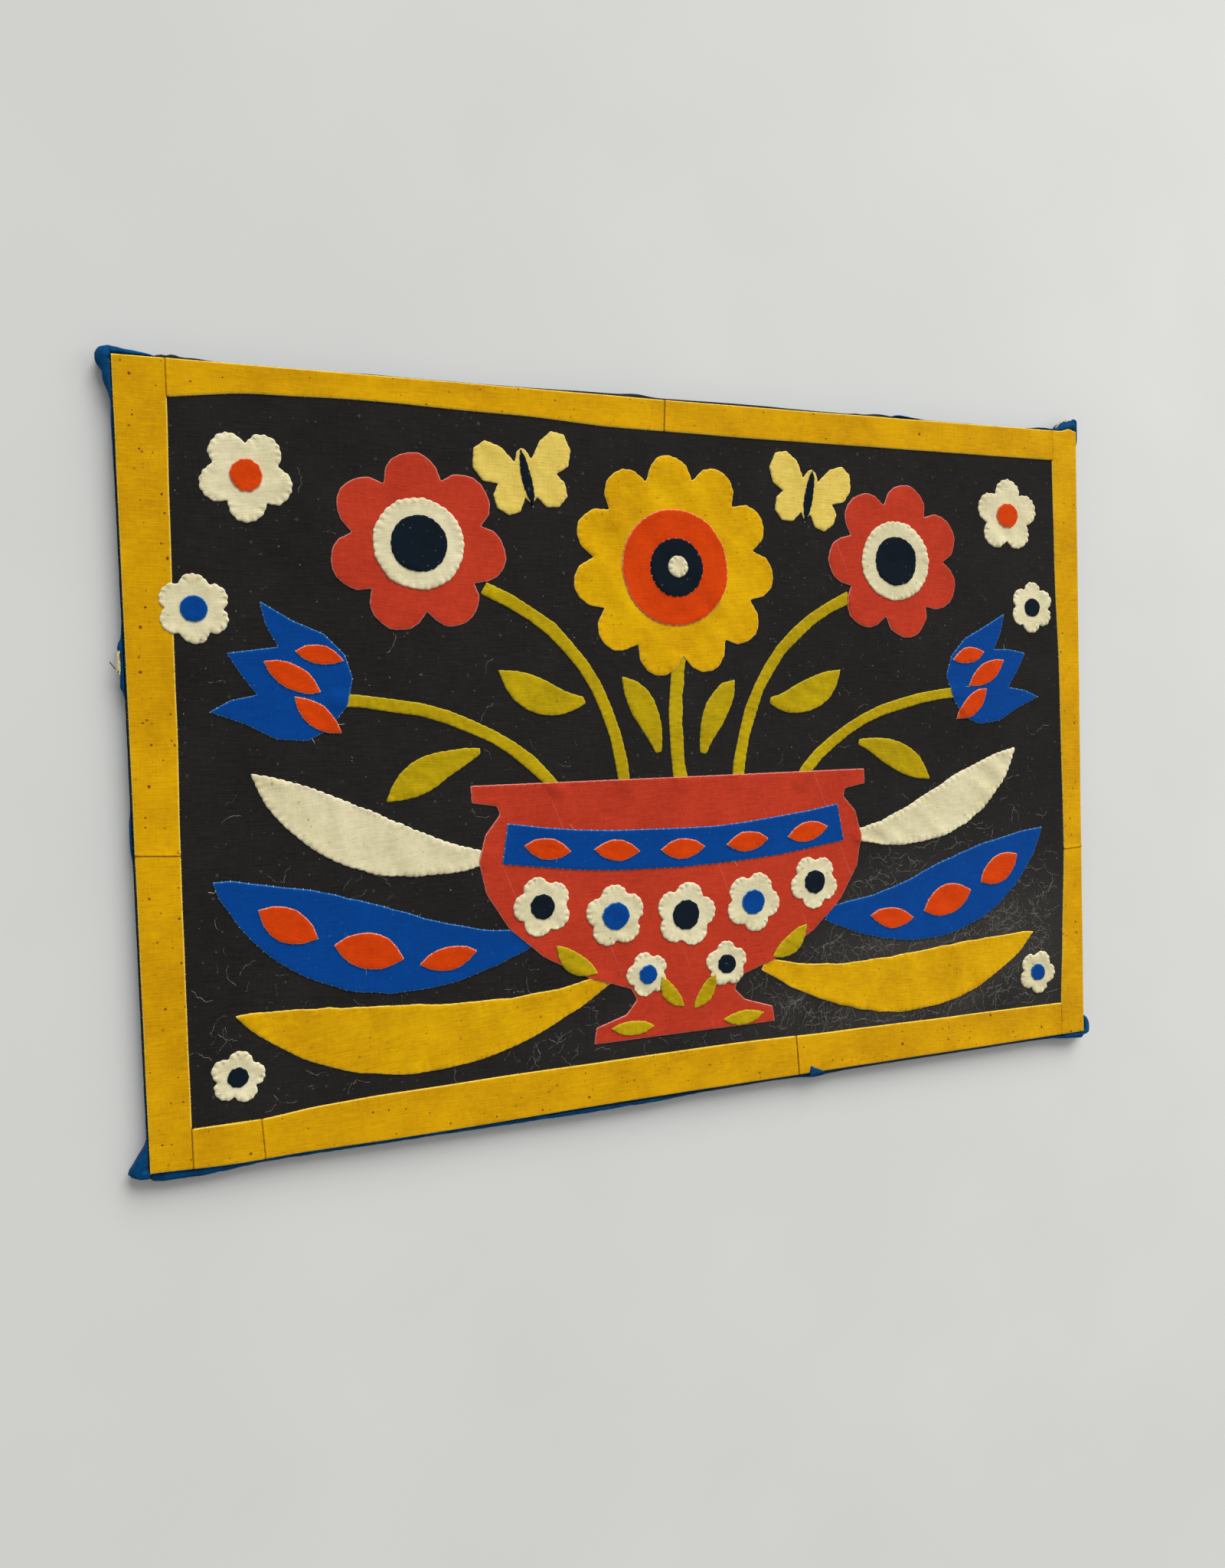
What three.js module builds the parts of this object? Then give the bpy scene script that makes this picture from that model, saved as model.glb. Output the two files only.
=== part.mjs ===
// An applique wall hanging on a wooden stretcher frame, lying on its back.
// Millimetres. X runs along the picture's width, Y up the picture and Z out of its face.
import * as THREE from "three";

// Driving sizes of the panel and its cloths
const PANEL_WIDTH = 1200;
const PANEL_HEIGHT = 816;
const CLOTH = 1.0;
const EDGING_CLOTH = 1.2;
const GAP = 0.3;
const BAR_WIDTH = 45;
const BAR_DEPTH = 18;
const BAR_INSET = 1.4;
const FLAP_DEPTH = 28;
const TURN_DOWN = 3.6;

// Heights, from the edging's turned back up to the sewn layers
const BAR_BACK = EDGING_CLOTH + GAP;
const GROUND_BACK = BAR_BACK + BAR_DEPTH + GAP;
const LAYER_BACK = GROUND_BACK + CLOTH + GAP;
const LAYER_RISE = CLOTH + GAP;

// Largest and smallest step along a strip, and the length of one snip of a hand-cut outline
const STRIP_STEP = 40;
const LEAST_STEP = 8;
const CUT_STEP = 14;

const FINISHES = {
  pine: { color: 0xc8a878, roughness: 0.7 },
  black_cotton: { color: 0x2a2828, roughness: 0.95 },
  border_cotton: { color: 0xcf9d00, roughness: 0.9 },
  edging_cotton: { color: 0x005a9e, roughness: 0.9 },
  red_cotton: { color: 0xb23428, roughness: 0.9 },
  blue_cotton: { color: 0x00459a, roughness: 0.9 },
  cream_cotton: { color: 0xe0d9b0, roughness: 0.9 },
  orange_cotton: { color: 0xdd4400, roughness: 0.9 },
  olive_cotton: { color: 0xa89c14, roughness: 0.9 },
  yellow_cotton: { color: 0xdfb600, roughness: 0.9 },
  pale_cotton: { color: 0xddc060, roughness: 0.9 },
};

const hanging = new THREE.Group();

function addPiece(name, geometry, finish) {
  const material = new THREE.MeshStandardMaterial({ ...FINISHES[finish], metalness: 0 });
  const mesh = new THREE.Mesh(geometry, material);
  mesh.name = name;
  hanging.add(mesh);
  return mesh;
}

// A flat sheet with the given outline, its back at the given height
function addSheet(name, outline, back, thickness, finish) {
  const shape = new THREE.Shape(outline);
  const geometry = new THREE.ExtrudeGeometry(shape, { depth: thickness, bevelEnabled: false });
  addPiece(name, geometry, finish).position.z = back;
}

function point(x, y) {
  return new THREE.Vector2(x, y);
}

// The value of a table's column at a distance, eased from one row to the next
function valueAt(table, column, at) {
  const next = table.findIndex((row) => row.at >= at);
  if (next <= 0) {
    return table[next === 0 ? 0 : table.length - 1][column];
  }
  const before = table[next - 1];
  const after = table[next];
  const share = THREE.MathUtils.smoothstep(at, before.at, after.at);
  return THREE.MathUtils.lerp(before[column], after[column], share);
}

// The distances from start to end at which a strip has a section: those wanted, and even steps
function stationsBetween(start, end, wanted) {
  const exact = [start, ...wanted.filter((at) => at > start && at < end), end];
  const steps = Math.ceil((end - start) / STRIP_STEP);
  const even = Array.from({ length: steps }, (_, i) => start + ((end - start) * i) / steps);
  const spare = even.filter((at) => exact.every((other) => Math.abs(at - other) > LEAST_STEP));
  return [...new Set([...exact, ...spare])].sort((one, other) => one - other);
}

// A closed body through rings of points, one ring for each section, closed at both ends
function loft(rings, section) {
  const corners = rings[0].length;
  const vertices = rings.flat().flatMap((corner) => corner.toArray());
  const faces = [];
  for (let ring = 0; ring < rings.length - 1; ring += 1) {
    for (let corner = 0; corner < corners; corner += 1) {
      const a = ring * corners + corner;
      const b = ring * corners + ((corner + 1) % corners);
      faces.push([a, b, b + corners], [a, b + corners, a + corners]);
    }
  }
  const last = (rings.length - 1) * corners;
  for (const [a, b, c] of THREE.ShapeUtils.triangulateShape(section, [])) {
    faces.push([c, b, a], [last + a, last + b, last + c]);
  }
  const volume = faces.reduce((sum, [a, b, c]) => {
    const [p, q, r] = [a, b, c].map((i) => new THREE.Vector3().fromArray(vertices, i * 3));
    return sum + p.dot(q.cross(r));
  }, 0);
  const outward = volume > 0 ? faces : faces.map(([a, b, c]) => [a, c, b]);
  const geometry = new THREE.BufferGeometry();
  geometry.setAttribute("position", new THREE.Float32BufferAttribute(vertices, 3));
  geometry.setIndex(outward.flat());
  return geometry;
}

// Each side of the panel runs from its start corner, with outward pointing away from the panel
const SIDES = {
  left: { start: [-1, -1], along: [0, 1], outward: [-1, 0], length: PANEL_HEIGHT },
  right: { start: [1, -1], along: [0, 1], outward: [1, 0], length: PANEL_HEIGHT },
  top: { start: [-1, 1], along: [1, 0], outward: [0, 1], length: PANEL_WIDTH },
  bottom: { start: [-1, -1], along: [1, 0], outward: [0, -1], length: PANEL_WIDTH },
};

// A section's points, as out (past the panel's edge) and up, set on a side at a distance
function ringOn(side, at, section, slant = 0) {
  const { start, along, outward } = SIDES[side];
  return section.map(({ x: out, y: up }) => {
    const reach = at + slant * out;
    const x = (start[0] * PANEL_WIDTH) / 2 + along[0] * reach + outward[0] * out;
    const y = (start[1] * PANEL_HEIGHT) / 2 + along[1] * reach + outward[1] * out;
    return new THREE.Vector3(x, y, up);
  });
}

// Stretcher frame: four bars with mitred corners
function addBars() {
  const outerX = PANEL_WIDTH / 2 - BAR_INSET;
  const outerY = PANEL_HEIGHT / 2 - BAR_INSET;
  const innerX = outerX - BAR_WIDTH;
  const innerY = outerY - BAR_WIDTH;
  const mitre = GAP * Math.SQRT2;
  for (const [name, sign] of [["left", -1], ["right", 1]]) {
    const outline = [
      point(sign * outerX, -outerY), point(sign * outerX, outerY),
      point(sign * innerX, innerY), point(sign * innerX, -innerY),
    ];
    addSheet(`bar_${name}`, outline, BAR_BACK, BAR_DEPTH, "pine");
  }
  for (const [name, sign] of [["bottom", -1], ["top", 1]]) {
    const outline = [
      point(-outerX + mitre, sign * outerY), point(outerX - mitre, sign * outerY),
      point(innerX - mitre, sign * innerY), point(-innerX + mitre, sign * innerY),
    ];
    addSheet(`bar_${name}`, outline, BAR_BACK, BAR_DEPTH, "pine");
  }
}

// Black ground cloth, stretched over the bars
function addGround() {
  const halfX = PANEL_WIDTH / 2 - BAR_INSET;
  const halfY = PANEL_HEIGHT / 2 - BAR_INSET;
  const outline = [point(-halfX, -halfY), point(halfX, -halfY), point(halfX, halfY), point(-halfX, halfY)];
  addSheet("ground_cloth", outline, GROUND_BACK, CLOTH, "black_cotton");
}

// Border strips: how wide each one is, from the panel's edge to its uneven inner edge
const BORDER_WIDTHS = {
  left: [
    { at: 0, width: 41 }, { at: 90, width: 41 }, { at: 280, width: 42 }, { at: 480, width: 45 },
    { at: 680, width: 47 }, { at: 760, width: 49 }, { at: 816, width: 49 },
  ],
  right: [
    { at: 0, width: 39 }, { at: 55, width: 38 }, { at: 110, width: 35 }, { at: 255, width: 30 },
    { at: 465, width: 33 }, { at: 645, width: 39 }, { at: 760, width: 41 }, { at: 816, width: 41 },
  ],
  top: [
    { at: 0, width: 39 }, { at: 50, width: 38 }, { at: 120, width: 29 }, { at: 235, width: 27 },
    { at: 410, width: 31 }, { at: 540, width: 37 }, { at: 740, width: 38.5 }, { at: 1200, width: 39 },
  ],
  bottom: [
    { at: 0, width: 39 }, { at: 115, width: 39 }, { at: 160, width: 44 }, { at: 240, width: 47 },
    { at: 405, width: 49 }, { at: 670, width: 50 }, { at: 810, width: 47 }, { at: 1010, width: 45 },
    { at: 1200, width: 43 },
  ],
};

// Each strip is sewn from pieces between these seams. The side strips run the full height,
// and the top and bottom ones fit between them.
const SEAM_SLANT = 0.06;
const BORDER_SEAMS = {
  left: [0, 321, PANEL_HEIGHT],
  right: [0, 255, PANEL_HEIGHT],
  top: [
    BORDER_WIDTHS.left.at(-1).width + GAP, 593,
    PANEL_WIDTH - BORDER_WIDTHS.right.at(-1).width - GAP,
  ],
  bottom: [
    BORDER_WIDTHS.left[0].width + GAP, 112, 750,
    PANEL_WIDTH - BORDER_WIDTHS.right[0].width - GAP,
  ],
};
const FRONT = LAYER_BACK + CLOTH;
const FOLD_SOFTNESS = 0.6;

// A border strip's section: flat on the ground cloth, with its edge turned down over the side
function borderSection(width) {
  const low = LAYER_BACK - TURN_DOWN;
  return [
    point(-width, LAYER_BACK), point(-CLOTH, LAYER_BACK), point(-CLOTH, low), point(0, low),
    point(0, FRONT - FOLD_SOFTNESS), point(-FOLD_SOFTNESS, FRONT), point(-width, FRONT),
  ];
}

function addBorder() {
  for (const [side, seams] of Object.entries(BORDER_SEAMS)) {
    const widths = BORDER_WIDTHS[side];
    for (let piece = 0; piece < seams.length - 1; piece += 1) {
      const isFirst = piece === 0;
      const isLast = piece === seams.length - 2;
      const start = seams[piece] + (isFirst ? 0 : GAP);
      const end = seams[piece + 1];
      const stations = stationsBetween(start, end, widths.map((row) => row.at));
      const rings = stations.map((at) => {
        const atSeam = (at === start && !isFirst) || (at === end && !isLast);
        return ringOn(side, at, borderSection(valueAt(widths, "width", at)), atSeam ? SEAM_SLANT : 0);
      });
      addPiece(`border_${side}_${piece + 1}`, loft(rings, borderSection(BAR_WIDTH)), "border_cotton");
    }
  }
}

// Blue edging: how far its soft rolled side stands out, with ears of spare cloth at the corners
const EDGING_BULGES = {
  left: [
    { at: 0, bulge: 19 }, { at: 18, bulge: 17 }, { at: 48, bulge: 6 }, { at: 110, bulge: 4 },
    { at: 250, bulge: 5 }, { at: 420, bulge: 3.5 }, { at: 600, bulge: 5 }, { at: 700, bulge: 4 },
    { at: 766, bulge: 7 }, { at: 795, bulge: 13 }, { at: 816, bulge: 15 },
  ],
  right: [
    { at: 0, bulge: 7 }, { at: 20, bulge: 7 }, { at: 36, bulge: 3.5 }, { at: 200, bulge: 3 },
    { at: 500, bulge: 4 }, { at: 780, bulge: 3 }, { at: 816, bulge: 3 },
  ],
  top: [
    { at: 0, bulge: 8 }, { at: 25, bulge: 8 }, { at: 45, bulge: 4 }, { at: 80, bulge: 3 },
    { at: 600, bulge: 4 }, { at: 1100, bulge: 3 }, { at: 1140, bulge: 7 }, { at: 1160, bulge: 6 },
    { at: 1180, bulge: 13 }, { at: 1200, bulge: 15 },
  ],
  bottom: [
    { at: 0, bulge: 6 }, { at: 60, bulge: 6 }, { at: 115, bulge: 3.5 }, { at: 400, bulge: 3 },
    { at: 765, bulge: 3 }, { at: 777, bulge: 10 }, { at: 792, bulge: 3 }, { at: 1170, bulge: 3 },
    { at: 1185, bulge: 5 }, { at: 1200, bulge: 5 },
  ],
};

// How far each edging strip runs past the panel's corners. The top and bottom strips stop short,
// between the side ones.
const BUTT_END = -0.8;
const EDGING_ENDS = {
  left: { before: 1, after: 8 },
  right: { before: 4, after: 13 },
  top: { before: BUTT_END, after: BUTT_END },
  bottom: { before: BUTT_END, after: BUTT_END },
};

// The flap on the back is cut on the mitre, narrower towards each corner
const LEAST_FLAP = 0.5;
const MITRE_EASE = { left: 0.6, right: 0.6, top: 0, bottom: 0 };

function flapAt(side, at) {
  const fromCorner = Math.min(at, SIDES[side].length - at);
  return THREE.MathUtils.clamp(fromCorner - MITRE_EASE[side], LEAST_FLAP, FLAP_DEPTH);
}

// The edging's outer line up the panel's side, as shares of its bulge, and its two plain ends
const EDGING_ROLL = [{ up: 3, share: 0.75 }, { up: 9, share: 1 }, { up: 16, share: 0.8 }];
const EDGING_HEEL = 0.5;
const EDGING_LIP = 1.8;
const EDGING_TOP = FRONT - 1.6;
const FOLD_LINE = GAP + 0.1;

// Past the corner the spare cloth is folded up solid, and elsewhere it is one turn of cloth
function edgingSection(bulge, flap, isFolded) {
  const roll = EDGING_ROLL.map(({ up, share }) => point(bulge * share, up));
  const outer = [...roll, point(EDGING_LIP, EDGING_TOP)];
  if (isFolded) {
    const side = outer.map(({ y }) => point(FOLD_LINE, y)).reverse();
    const foot = [point(FOLD_LINE, EDGING_CLOTH), point(FOLD_LINE, EDGING_CLOTH / 2)];
    return [point(FOLD_LINE, 0), point(EDGING_HEEL, 0), ...outer, ...side, ...foot];
  }
  const inner = outer.map(({ x, y }) => point(x - EDGING_CLOTH, y)).reverse();
  const turn = [point(0.1 - LEAST_FLAP, EDGING_CLOTH), point(-flap, EDGING_CLOTH)];
  return [point(-flap, 0), point(EDGING_HEEL, 0), ...outer, ...inner, ...turn];
}

function addEdging() {
  for (const [side, bulges] of Object.entries(EDGING_BULGES)) {
    const { length } = SIDES[side];
    const { before, after } = EDGING_ENDS[side];
    const mitre = [0, MITRE_EASE[side] + LEAST_FLAP, MITRE_EASE[side] + FLAP_DEPTH];
    const wanted = [...bulges.map((row) => row.at), ...mitre, ...mitre.map((at) => length - at)];
    const rings = stationsBetween(-before, length + after, wanted).map((at) => {
      const isFolded = at < 0 || at > length;
      return ringOn(side, at, edgingSection(valueAt(bulges, "bulge", at), flapAt(side, at), isFolded));
    });
    const end = edgingSection(bulges[0].bulge, LEAST_FLAP, before > 0);
    addPiece(`edging_${side}`, loft(rings, end), "edging_cotton");
  }
}

// Small fixed unevenness of a hand-cut line, the same on every run
function wobble(seed, step) {
  const wave = Math.sin(seed * 12.9898 + step * 78.233) * 43758.5453;
  return 2 * (wave - Math.floor(wave)) - 1;
}

// How far a hand-cut corner strays, as a share of the snip before it
const CUT_STRAY = 0.07;

function handCut(outline, seed) {
  return outline.map((corner, i) => {
    const stray = CUT_STRAY * Math.min(CUT_STEP, corner.distanceTo(outline.at(i - 1)));
    return point(corner.x + stray * wobble(seed, i), corner.y + stray * wobble(seed + 7, i));
  });
}

// A disc cut with straight snips
function discOutline(radius) {
  const snips = Math.round((2 * Math.PI * radius) / CUT_STEP);
  return Array.from({ length: snips }, (_, i) => {
    const angle = (2 * Math.PI * i) / snips;
    return point(radius * Math.cos(angle), radius * Math.sin(angle));
  });
}

// A blossom seen from the front: round petals that dip towards the middle between them
const LEAST_SNIPS = 6;
const PETAL_LENGTHENING = 1.2;

function blossomOutline({ radius, petals, dip }) {
  if (!petals) {
    return discOutline(radius);
  }
  const petalEdge = (PETAL_LENGTHENING * 2 * Math.PI * radius) / petals;
  const perPetal = Math.max(LEAST_SNIPS, Math.round(petalEdge / CUT_STEP));
  return Array.from({ length: petals * perPetal }, (_, i) => {
    const angle = (2 * Math.PI * i) / (petals * perPetal);
    const swell = Math.abs(Math.sin((petals * angle) / 2)) ** 0.7;
    const reach = radius * (1 - dip + dip * swell);
    return point(reach * Math.cos(angle), reach * Math.sin(angle));
  });
}

// A strip along a bent line, with its half width given at each share of the way
function bentOutline(from, bend, to, halfWidth, steps) {
  const line = new THREE.QuadraticBezierCurve(point(...from), point(...bend), point(...to));
  const near = [];
  const far = [];
  for (let i = 0; i <= steps; i += 1) {
    const share = i / steps;
    const centre = line.getPoint(share);
    const across = line.getTangent(share).rotateAround(point(0, 0), Math.PI / 2);
    const half = halfWidth(share);
    near.push(centre.clone().addScaledVector(across, -half));
    if (half > 0.01) {
      far.unshift(centre.clone().addScaledVector(across, half));
    }
  }
  return [...near, ...far];
}

const STEM_STEPS = 10;

function stemOutline({ from, bend, to, width }) {
  return bentOutline(from, bend, to, () => width / 2, STEM_STEPS);
}

// A leaf: narrow and blunt at its foot, widest just past its middle and drawn to a point
const LEAF_FOOT = 0.2;
const LEAF_BELLY = { lean: 1.25, fullness: 0.8 };

function leafOutline({ from, bend, to, width }) {
  const halfWidth = (share) => {
    const belly = Math.sin(Math.PI * share ** LEAF_BELLY.lean) ** LEAF_BELLY.fullness;
    const narrowed = belly * (1 - LEAF_FOOT * (1 - share)) + LEAF_FOOT * (1 - share) ** 2;
    return share < 1 ? (width / 2) * narrowed : 0;
  };
  const steps = Math.round(point(...from).distanceTo(point(...to)) / CUT_STEP);
  return bentOutline(from, bend, to, halfWidth, steps);
}

// Half outlines, from the bottom middle to the top middle, as shares of the width and height
const TULIP_HALF = [
  { across: 0, up: 0 }, { across: 0.24, up: 0.04 }, { across: 0.4, up: 0.17 },
  { across: 0.49, up: 0.4 }, { across: 0.48, up: 0.65 }, { across: 0.5, up: 0.94 },
  { across: 0.34, up: 0.82 }, { across: 0.22, up: 0.66 }, { across: 0.13, up: 0.82 },
  { across: 0, up: 1 },
];
const BUTTERFLY_HALF = [
  { across: 0, up: 0.08 }, { across: 0.06, up: 0.18 }, { across: 0.14, up: 0.02 },
  { across: 0.26, up: 0 }, { across: 0.36, up: 0.12 }, { across: 0.37, up: 0.3 },
  { across: 0.3, up: 0.42 }, { across: 0.44, up: 0.5 }, { across: 0.5, up: 0.7 },
  { across: 0.46, up: 0.92 }, { across: 0.34, up: 1 }, { across: 0.2, up: 0.9 },
  { across: 0.09, up: 0.68 }, { across: 0.05, up: 0.8 }, { across: 0, up: 0.84 },
];

// Half of a footed bowl, from its foot to its lip, in millimetres
const BOWL_HALF = [
  { across: 0, up: 0 }, { across: 118, up: 0 }, { across: 116, up: 20 }, { across: 78, up: 32 },
  { across: 64, up: 46 }, { across: 70, up: 60 }, { across: 122, up: 78 }, { across: 176, up: 108 },
  { across: 216, up: 144 }, { across: 240, up: 184 }, { across: 248, up: 222 }, { across: 240, up: 252 },
  { across: 222, up: 272 }, { across: 226, up: 282 }, { across: 254, up: 288 }, { across: 254, up: 306 },
  { across: 0, up: 306 },
];

// Both halves of a half outline, with its bottom middle at the origin
function mirroredOutline(half, width, height) {
  const right = half.map(({ across, up }) => point(across * width, up * height));
  const inside = right.slice(1, -1).reverse();
  return [...right, ...inside.map(({ x, y }) => point(-x, y))];
}

// An outline turned about its own origin and moved to its place
function placed(outline, at, turn = 0) {
  return outline.map((corner) => corner.clone().rotateAround(point(0, 0), turn).add(point(...at)));
}

let seed = 1;

// One sewn cloth piece, cut by hand, on the given layer above the ground cloth
function addApplique(name, outline, layer, finish) {
  const back = LAYER_BACK + (layer - 1) * LAYER_RISE;
  addSheet(name, handCut(outline, seed), back, CLOTH, finish);
  seed += 1;
}

// Pieces that come in pairs: the right one mirrors the left one, set a little off by hand
const HAND_DRIFT = [5, -4];

function mirroredPoint([x, y]) {
  return [-x + HAND_DRIFT[0], y + HAND_DRIFT[1]];
}

const STEMS = [
  { name: "bloom_stem", from: [-70, -46], bend: [-84, 128], to: [-232, 186], width: 15 },
  { name: "tulip_stem", from: [-150, -46], bend: [-226, 58], to: [-404, 66], width: 14 },
];
const CENTRE_STEM = { from: [2, -46], bend: [-10, 30], to: [3, 110], width: 17 };

const LEAVES = [
  {
    name: "long_leaf_yellow", finish: "yellow_cotton",
    from: [-100, -262], bend: [-300, -352], to: [-512, -258], width: 80,
  },
  {
    name: "long_leaf_blue", finish: "blue_cotton",
    from: [-190, -206], bend: [-366, -246], to: [-528, -118], width: 100,
  },
  {
    name: "long_leaf_cream", finish: "cream_cotton",
    from: [-232, -112], bend: [-372, -116], to: [-486, -8], width: 68,
  },
  {
    name: "stem_leaf", finish: "olive_cotton",
    from: [-26, -2], bend: [-36, 46], to: [-70, 86], width: 34,
  },
  {
    name: "bloom_leaf", finish: "olive_cotton",
    from: [-118, 60], bend: [-164, 48], to: [-218, 96], width: 42,
  },
  {
    name: "tulip_leaf", finish: "olive_cotton",
    from: [-242, 6], bend: [-300, -6], to: [-348, -46], width: 38,
  },
];

const PAIRED_BLOSSOMS = [
  { name: "bloom", finish: "red_cotton", layer: 2, at: [-302, 232], radius: 98, petals: 7, dip: 0.26 },
  { name: "bloom_ring", finish: "cream_cotton", layer: 3, at: [-302, 232], radius: 50 },
  { name: "far_blossom", finish: "cream_cotton", layer: 1, at: [-478, 296], radius: 48, petals: 5, dip: 0.3 },
];

const SUNFLOWER = { layer: 2, at: [2, 214], radius: 130, petals: 11, dip: 0.2 };
const SUNFLOWER_HEART = { layer: 3, at: [1, 213], radius: 68 };

// Small cream blossoms near the border, one of them sewn across its edge
const SMALL_BLOSSOMS = [
  { name: "edge_blossom_left", layer: 2, at: [-534, 160], radius: 36, petals: 6, dip: 0.2 },
  { name: "edge_blossom_right", layer: 1, at: [522, 172], radius: 34, petals: 6, dip: 0.2 },
  { name: "low_blossom_left", layer: 1, at: [-512, -322], radius: 28, petals: 5, dip: 0.24 },
  { name: "low_blossom_right", layer: 1, at: [522, -318], radius: 30, petals: 5, dip: 0.24 },
];

const TULIP = { at: [-386, 58], turn: 1.12, width: 124, height: 132 };
const BUTTERFLY = { at: [-170, 272], turn: 0.2, width: 116, height: 84 };

// Blossoms on the bowl, in a row of five over a row of two
const BOWL_FOOT = -338;
const BOWL_BLOSSOMS = [
  { at: [-176, -172], radius: 35 }, { at: [-88, -190], radius: 37 }, { at: [2, -196], radius: 39 },
  { at: [92, -188], radius: 37 }, { at: [178, -170], radius: 34 }, { at: [-50, -262], radius: 27 },
  { at: [54, -260], radius: 28 },
];
const BOWL_BAND = { from: [-218, -98], bend: [0, -134], to: [218, -98], width: 46 };

function mirroredRun({ from, bend, to, width }) {
  return { from: mirroredPoint(from), bend: mirroredPoint(bend), to: mirroredPoint(to), width };
}

function addStemsAndLeaves() {
  addApplique("centre_stem", stemOutline(CENTRE_STEM), 1, "olive_cotton");
  for (const stem of STEMS) {
    addApplique(`${stem.name}_left`, stemOutline(stem), 1, "olive_cotton");
    addApplique(`${stem.name}_right`, stemOutline(mirroredRun(stem)), 1, "olive_cotton");
  }
  for (const leaf of LEAVES) {
    addApplique(`${leaf.name}_left`, leafOutline(leaf), 1, leaf.finish);
    addApplique(`${leaf.name}_right`, leafOutline(mirroredRun(leaf)), 1, leaf.finish);
  }
}

function addBlossom(name, blossom, finish, turn) {
  addApplique(name, placed(blossomOutline(blossom), blossom.at, turn), blossom.layer, finish);
}

function addBlossoms() {
  for (const blossom of PAIRED_BLOSSOMS) {
    const mirrored = { ...blossom, at: mirroredPoint(blossom.at) };
    addBlossom(`${blossom.name}_left`, blossom, blossom.finish, 0.3);
    addBlossom(`${blossom.name}_right`, mirrored, blossom.finish, 0.9);
  }
  addBlossom("sunflower", SUNFLOWER, "yellow_cotton", 0.2);
  addBlossom("sunflower_heart", SUNFLOWER_HEART, "orange_cotton", 0);
  SMALL_BLOSSOMS.forEach((blossom, i) => addBlossom(blossom.name, blossom, "cream_cotton", i));
}

function addMirroredShape(name, half, { at, turn, width, height }, layer, finish) {
  const outline = mirroredOutline(half, width, height);
  addApplique(`${name}_left`, placed(outline, at, turn), layer, finish);
  addApplique(`${name}_right`, placed(outline, mirroredPoint(at), -turn), layer, finish);
}

function addBowl() {
  addApplique("bowl", placed(mirroredOutline(BOWL_HALF, 1, 1), [0, BOWL_FOOT]), 2, "red_cotton");
  addApplique("bowl_band", stemOutline(BOWL_BAND), 3, "blue_cotton");
  BOWL_BLOSSOMS.forEach((place, i) => {
    addBlossom(`bowl_blossom_${i + 1}`, { ...place, layer: 3, petals: 5, dip: 0.22 }, "cream_cotton", i);
  });
}

addBars();
addGround();
addBorder();
addEdging();
addStemsAndLeaves();
addBlossoms();
addMirroredShape("tulip", TULIP_HALF, TULIP, 2, "blue_cotton");
addMirroredShape("butterfly", BUTTERFLY_HALF, BUTTERFLY, 1, "pale_cotton");
addBowl();

// The origin is the middle of the whole hanging, on the surface that it lies on
const reach = new THREE.Box3().setFromObject(hanging);
const middle = reach.getCenter(new THREE.Vector3());
hanging.position.set(-middle.x, -middle.y, -reach.min.z);

export default hanging;
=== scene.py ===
"""An applique wall hanging on a wooden stretcher frame, lying on its back.

X runs along the picture's width, Y up the picture and Z out of its face. The cloths are cut, sewn and
laid in millimetres, and become metres as their meshes are made.
"""

import math

import bmesh
import bpy
import numpy as np
from mathutils import Matrix, Vector, noise
from mathutils.geometry import delaunay_2d_cdt


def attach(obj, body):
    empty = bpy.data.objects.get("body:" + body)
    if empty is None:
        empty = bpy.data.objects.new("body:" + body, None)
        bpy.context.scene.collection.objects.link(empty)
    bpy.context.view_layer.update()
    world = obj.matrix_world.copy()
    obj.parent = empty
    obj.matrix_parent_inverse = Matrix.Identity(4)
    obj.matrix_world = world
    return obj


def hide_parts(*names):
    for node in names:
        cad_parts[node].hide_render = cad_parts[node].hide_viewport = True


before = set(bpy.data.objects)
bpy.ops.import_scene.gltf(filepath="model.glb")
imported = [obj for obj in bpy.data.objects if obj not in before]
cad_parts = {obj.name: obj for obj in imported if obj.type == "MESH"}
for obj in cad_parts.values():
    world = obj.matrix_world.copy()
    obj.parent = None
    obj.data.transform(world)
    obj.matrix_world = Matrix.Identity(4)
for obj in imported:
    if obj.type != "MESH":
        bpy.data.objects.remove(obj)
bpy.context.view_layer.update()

MM = 0.001

# The panel, and the heights of its cloths above the surface it lies on
PANEL_WIDTH = 1200.0
PANEL_HEIGHT = 816.0
PANEL_HALF = np.array([PANEL_WIDTH, PANEL_HEIGHT]) / 2
PANEL_CENTRE = np.array([6.0, -2.495])
GROUND_TOP = 20.8
CLOTH = 0.95
BORDER_CLOTH = 1.15

# Hand sewing
STITCH_PITCH = 9.0
PULL_WIDTH = 1.7
HEM_RISE = 0.3
HEM_WIDTH = 6.5
HEM_EASE = 2.5
HEM_START = 0.4

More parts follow.
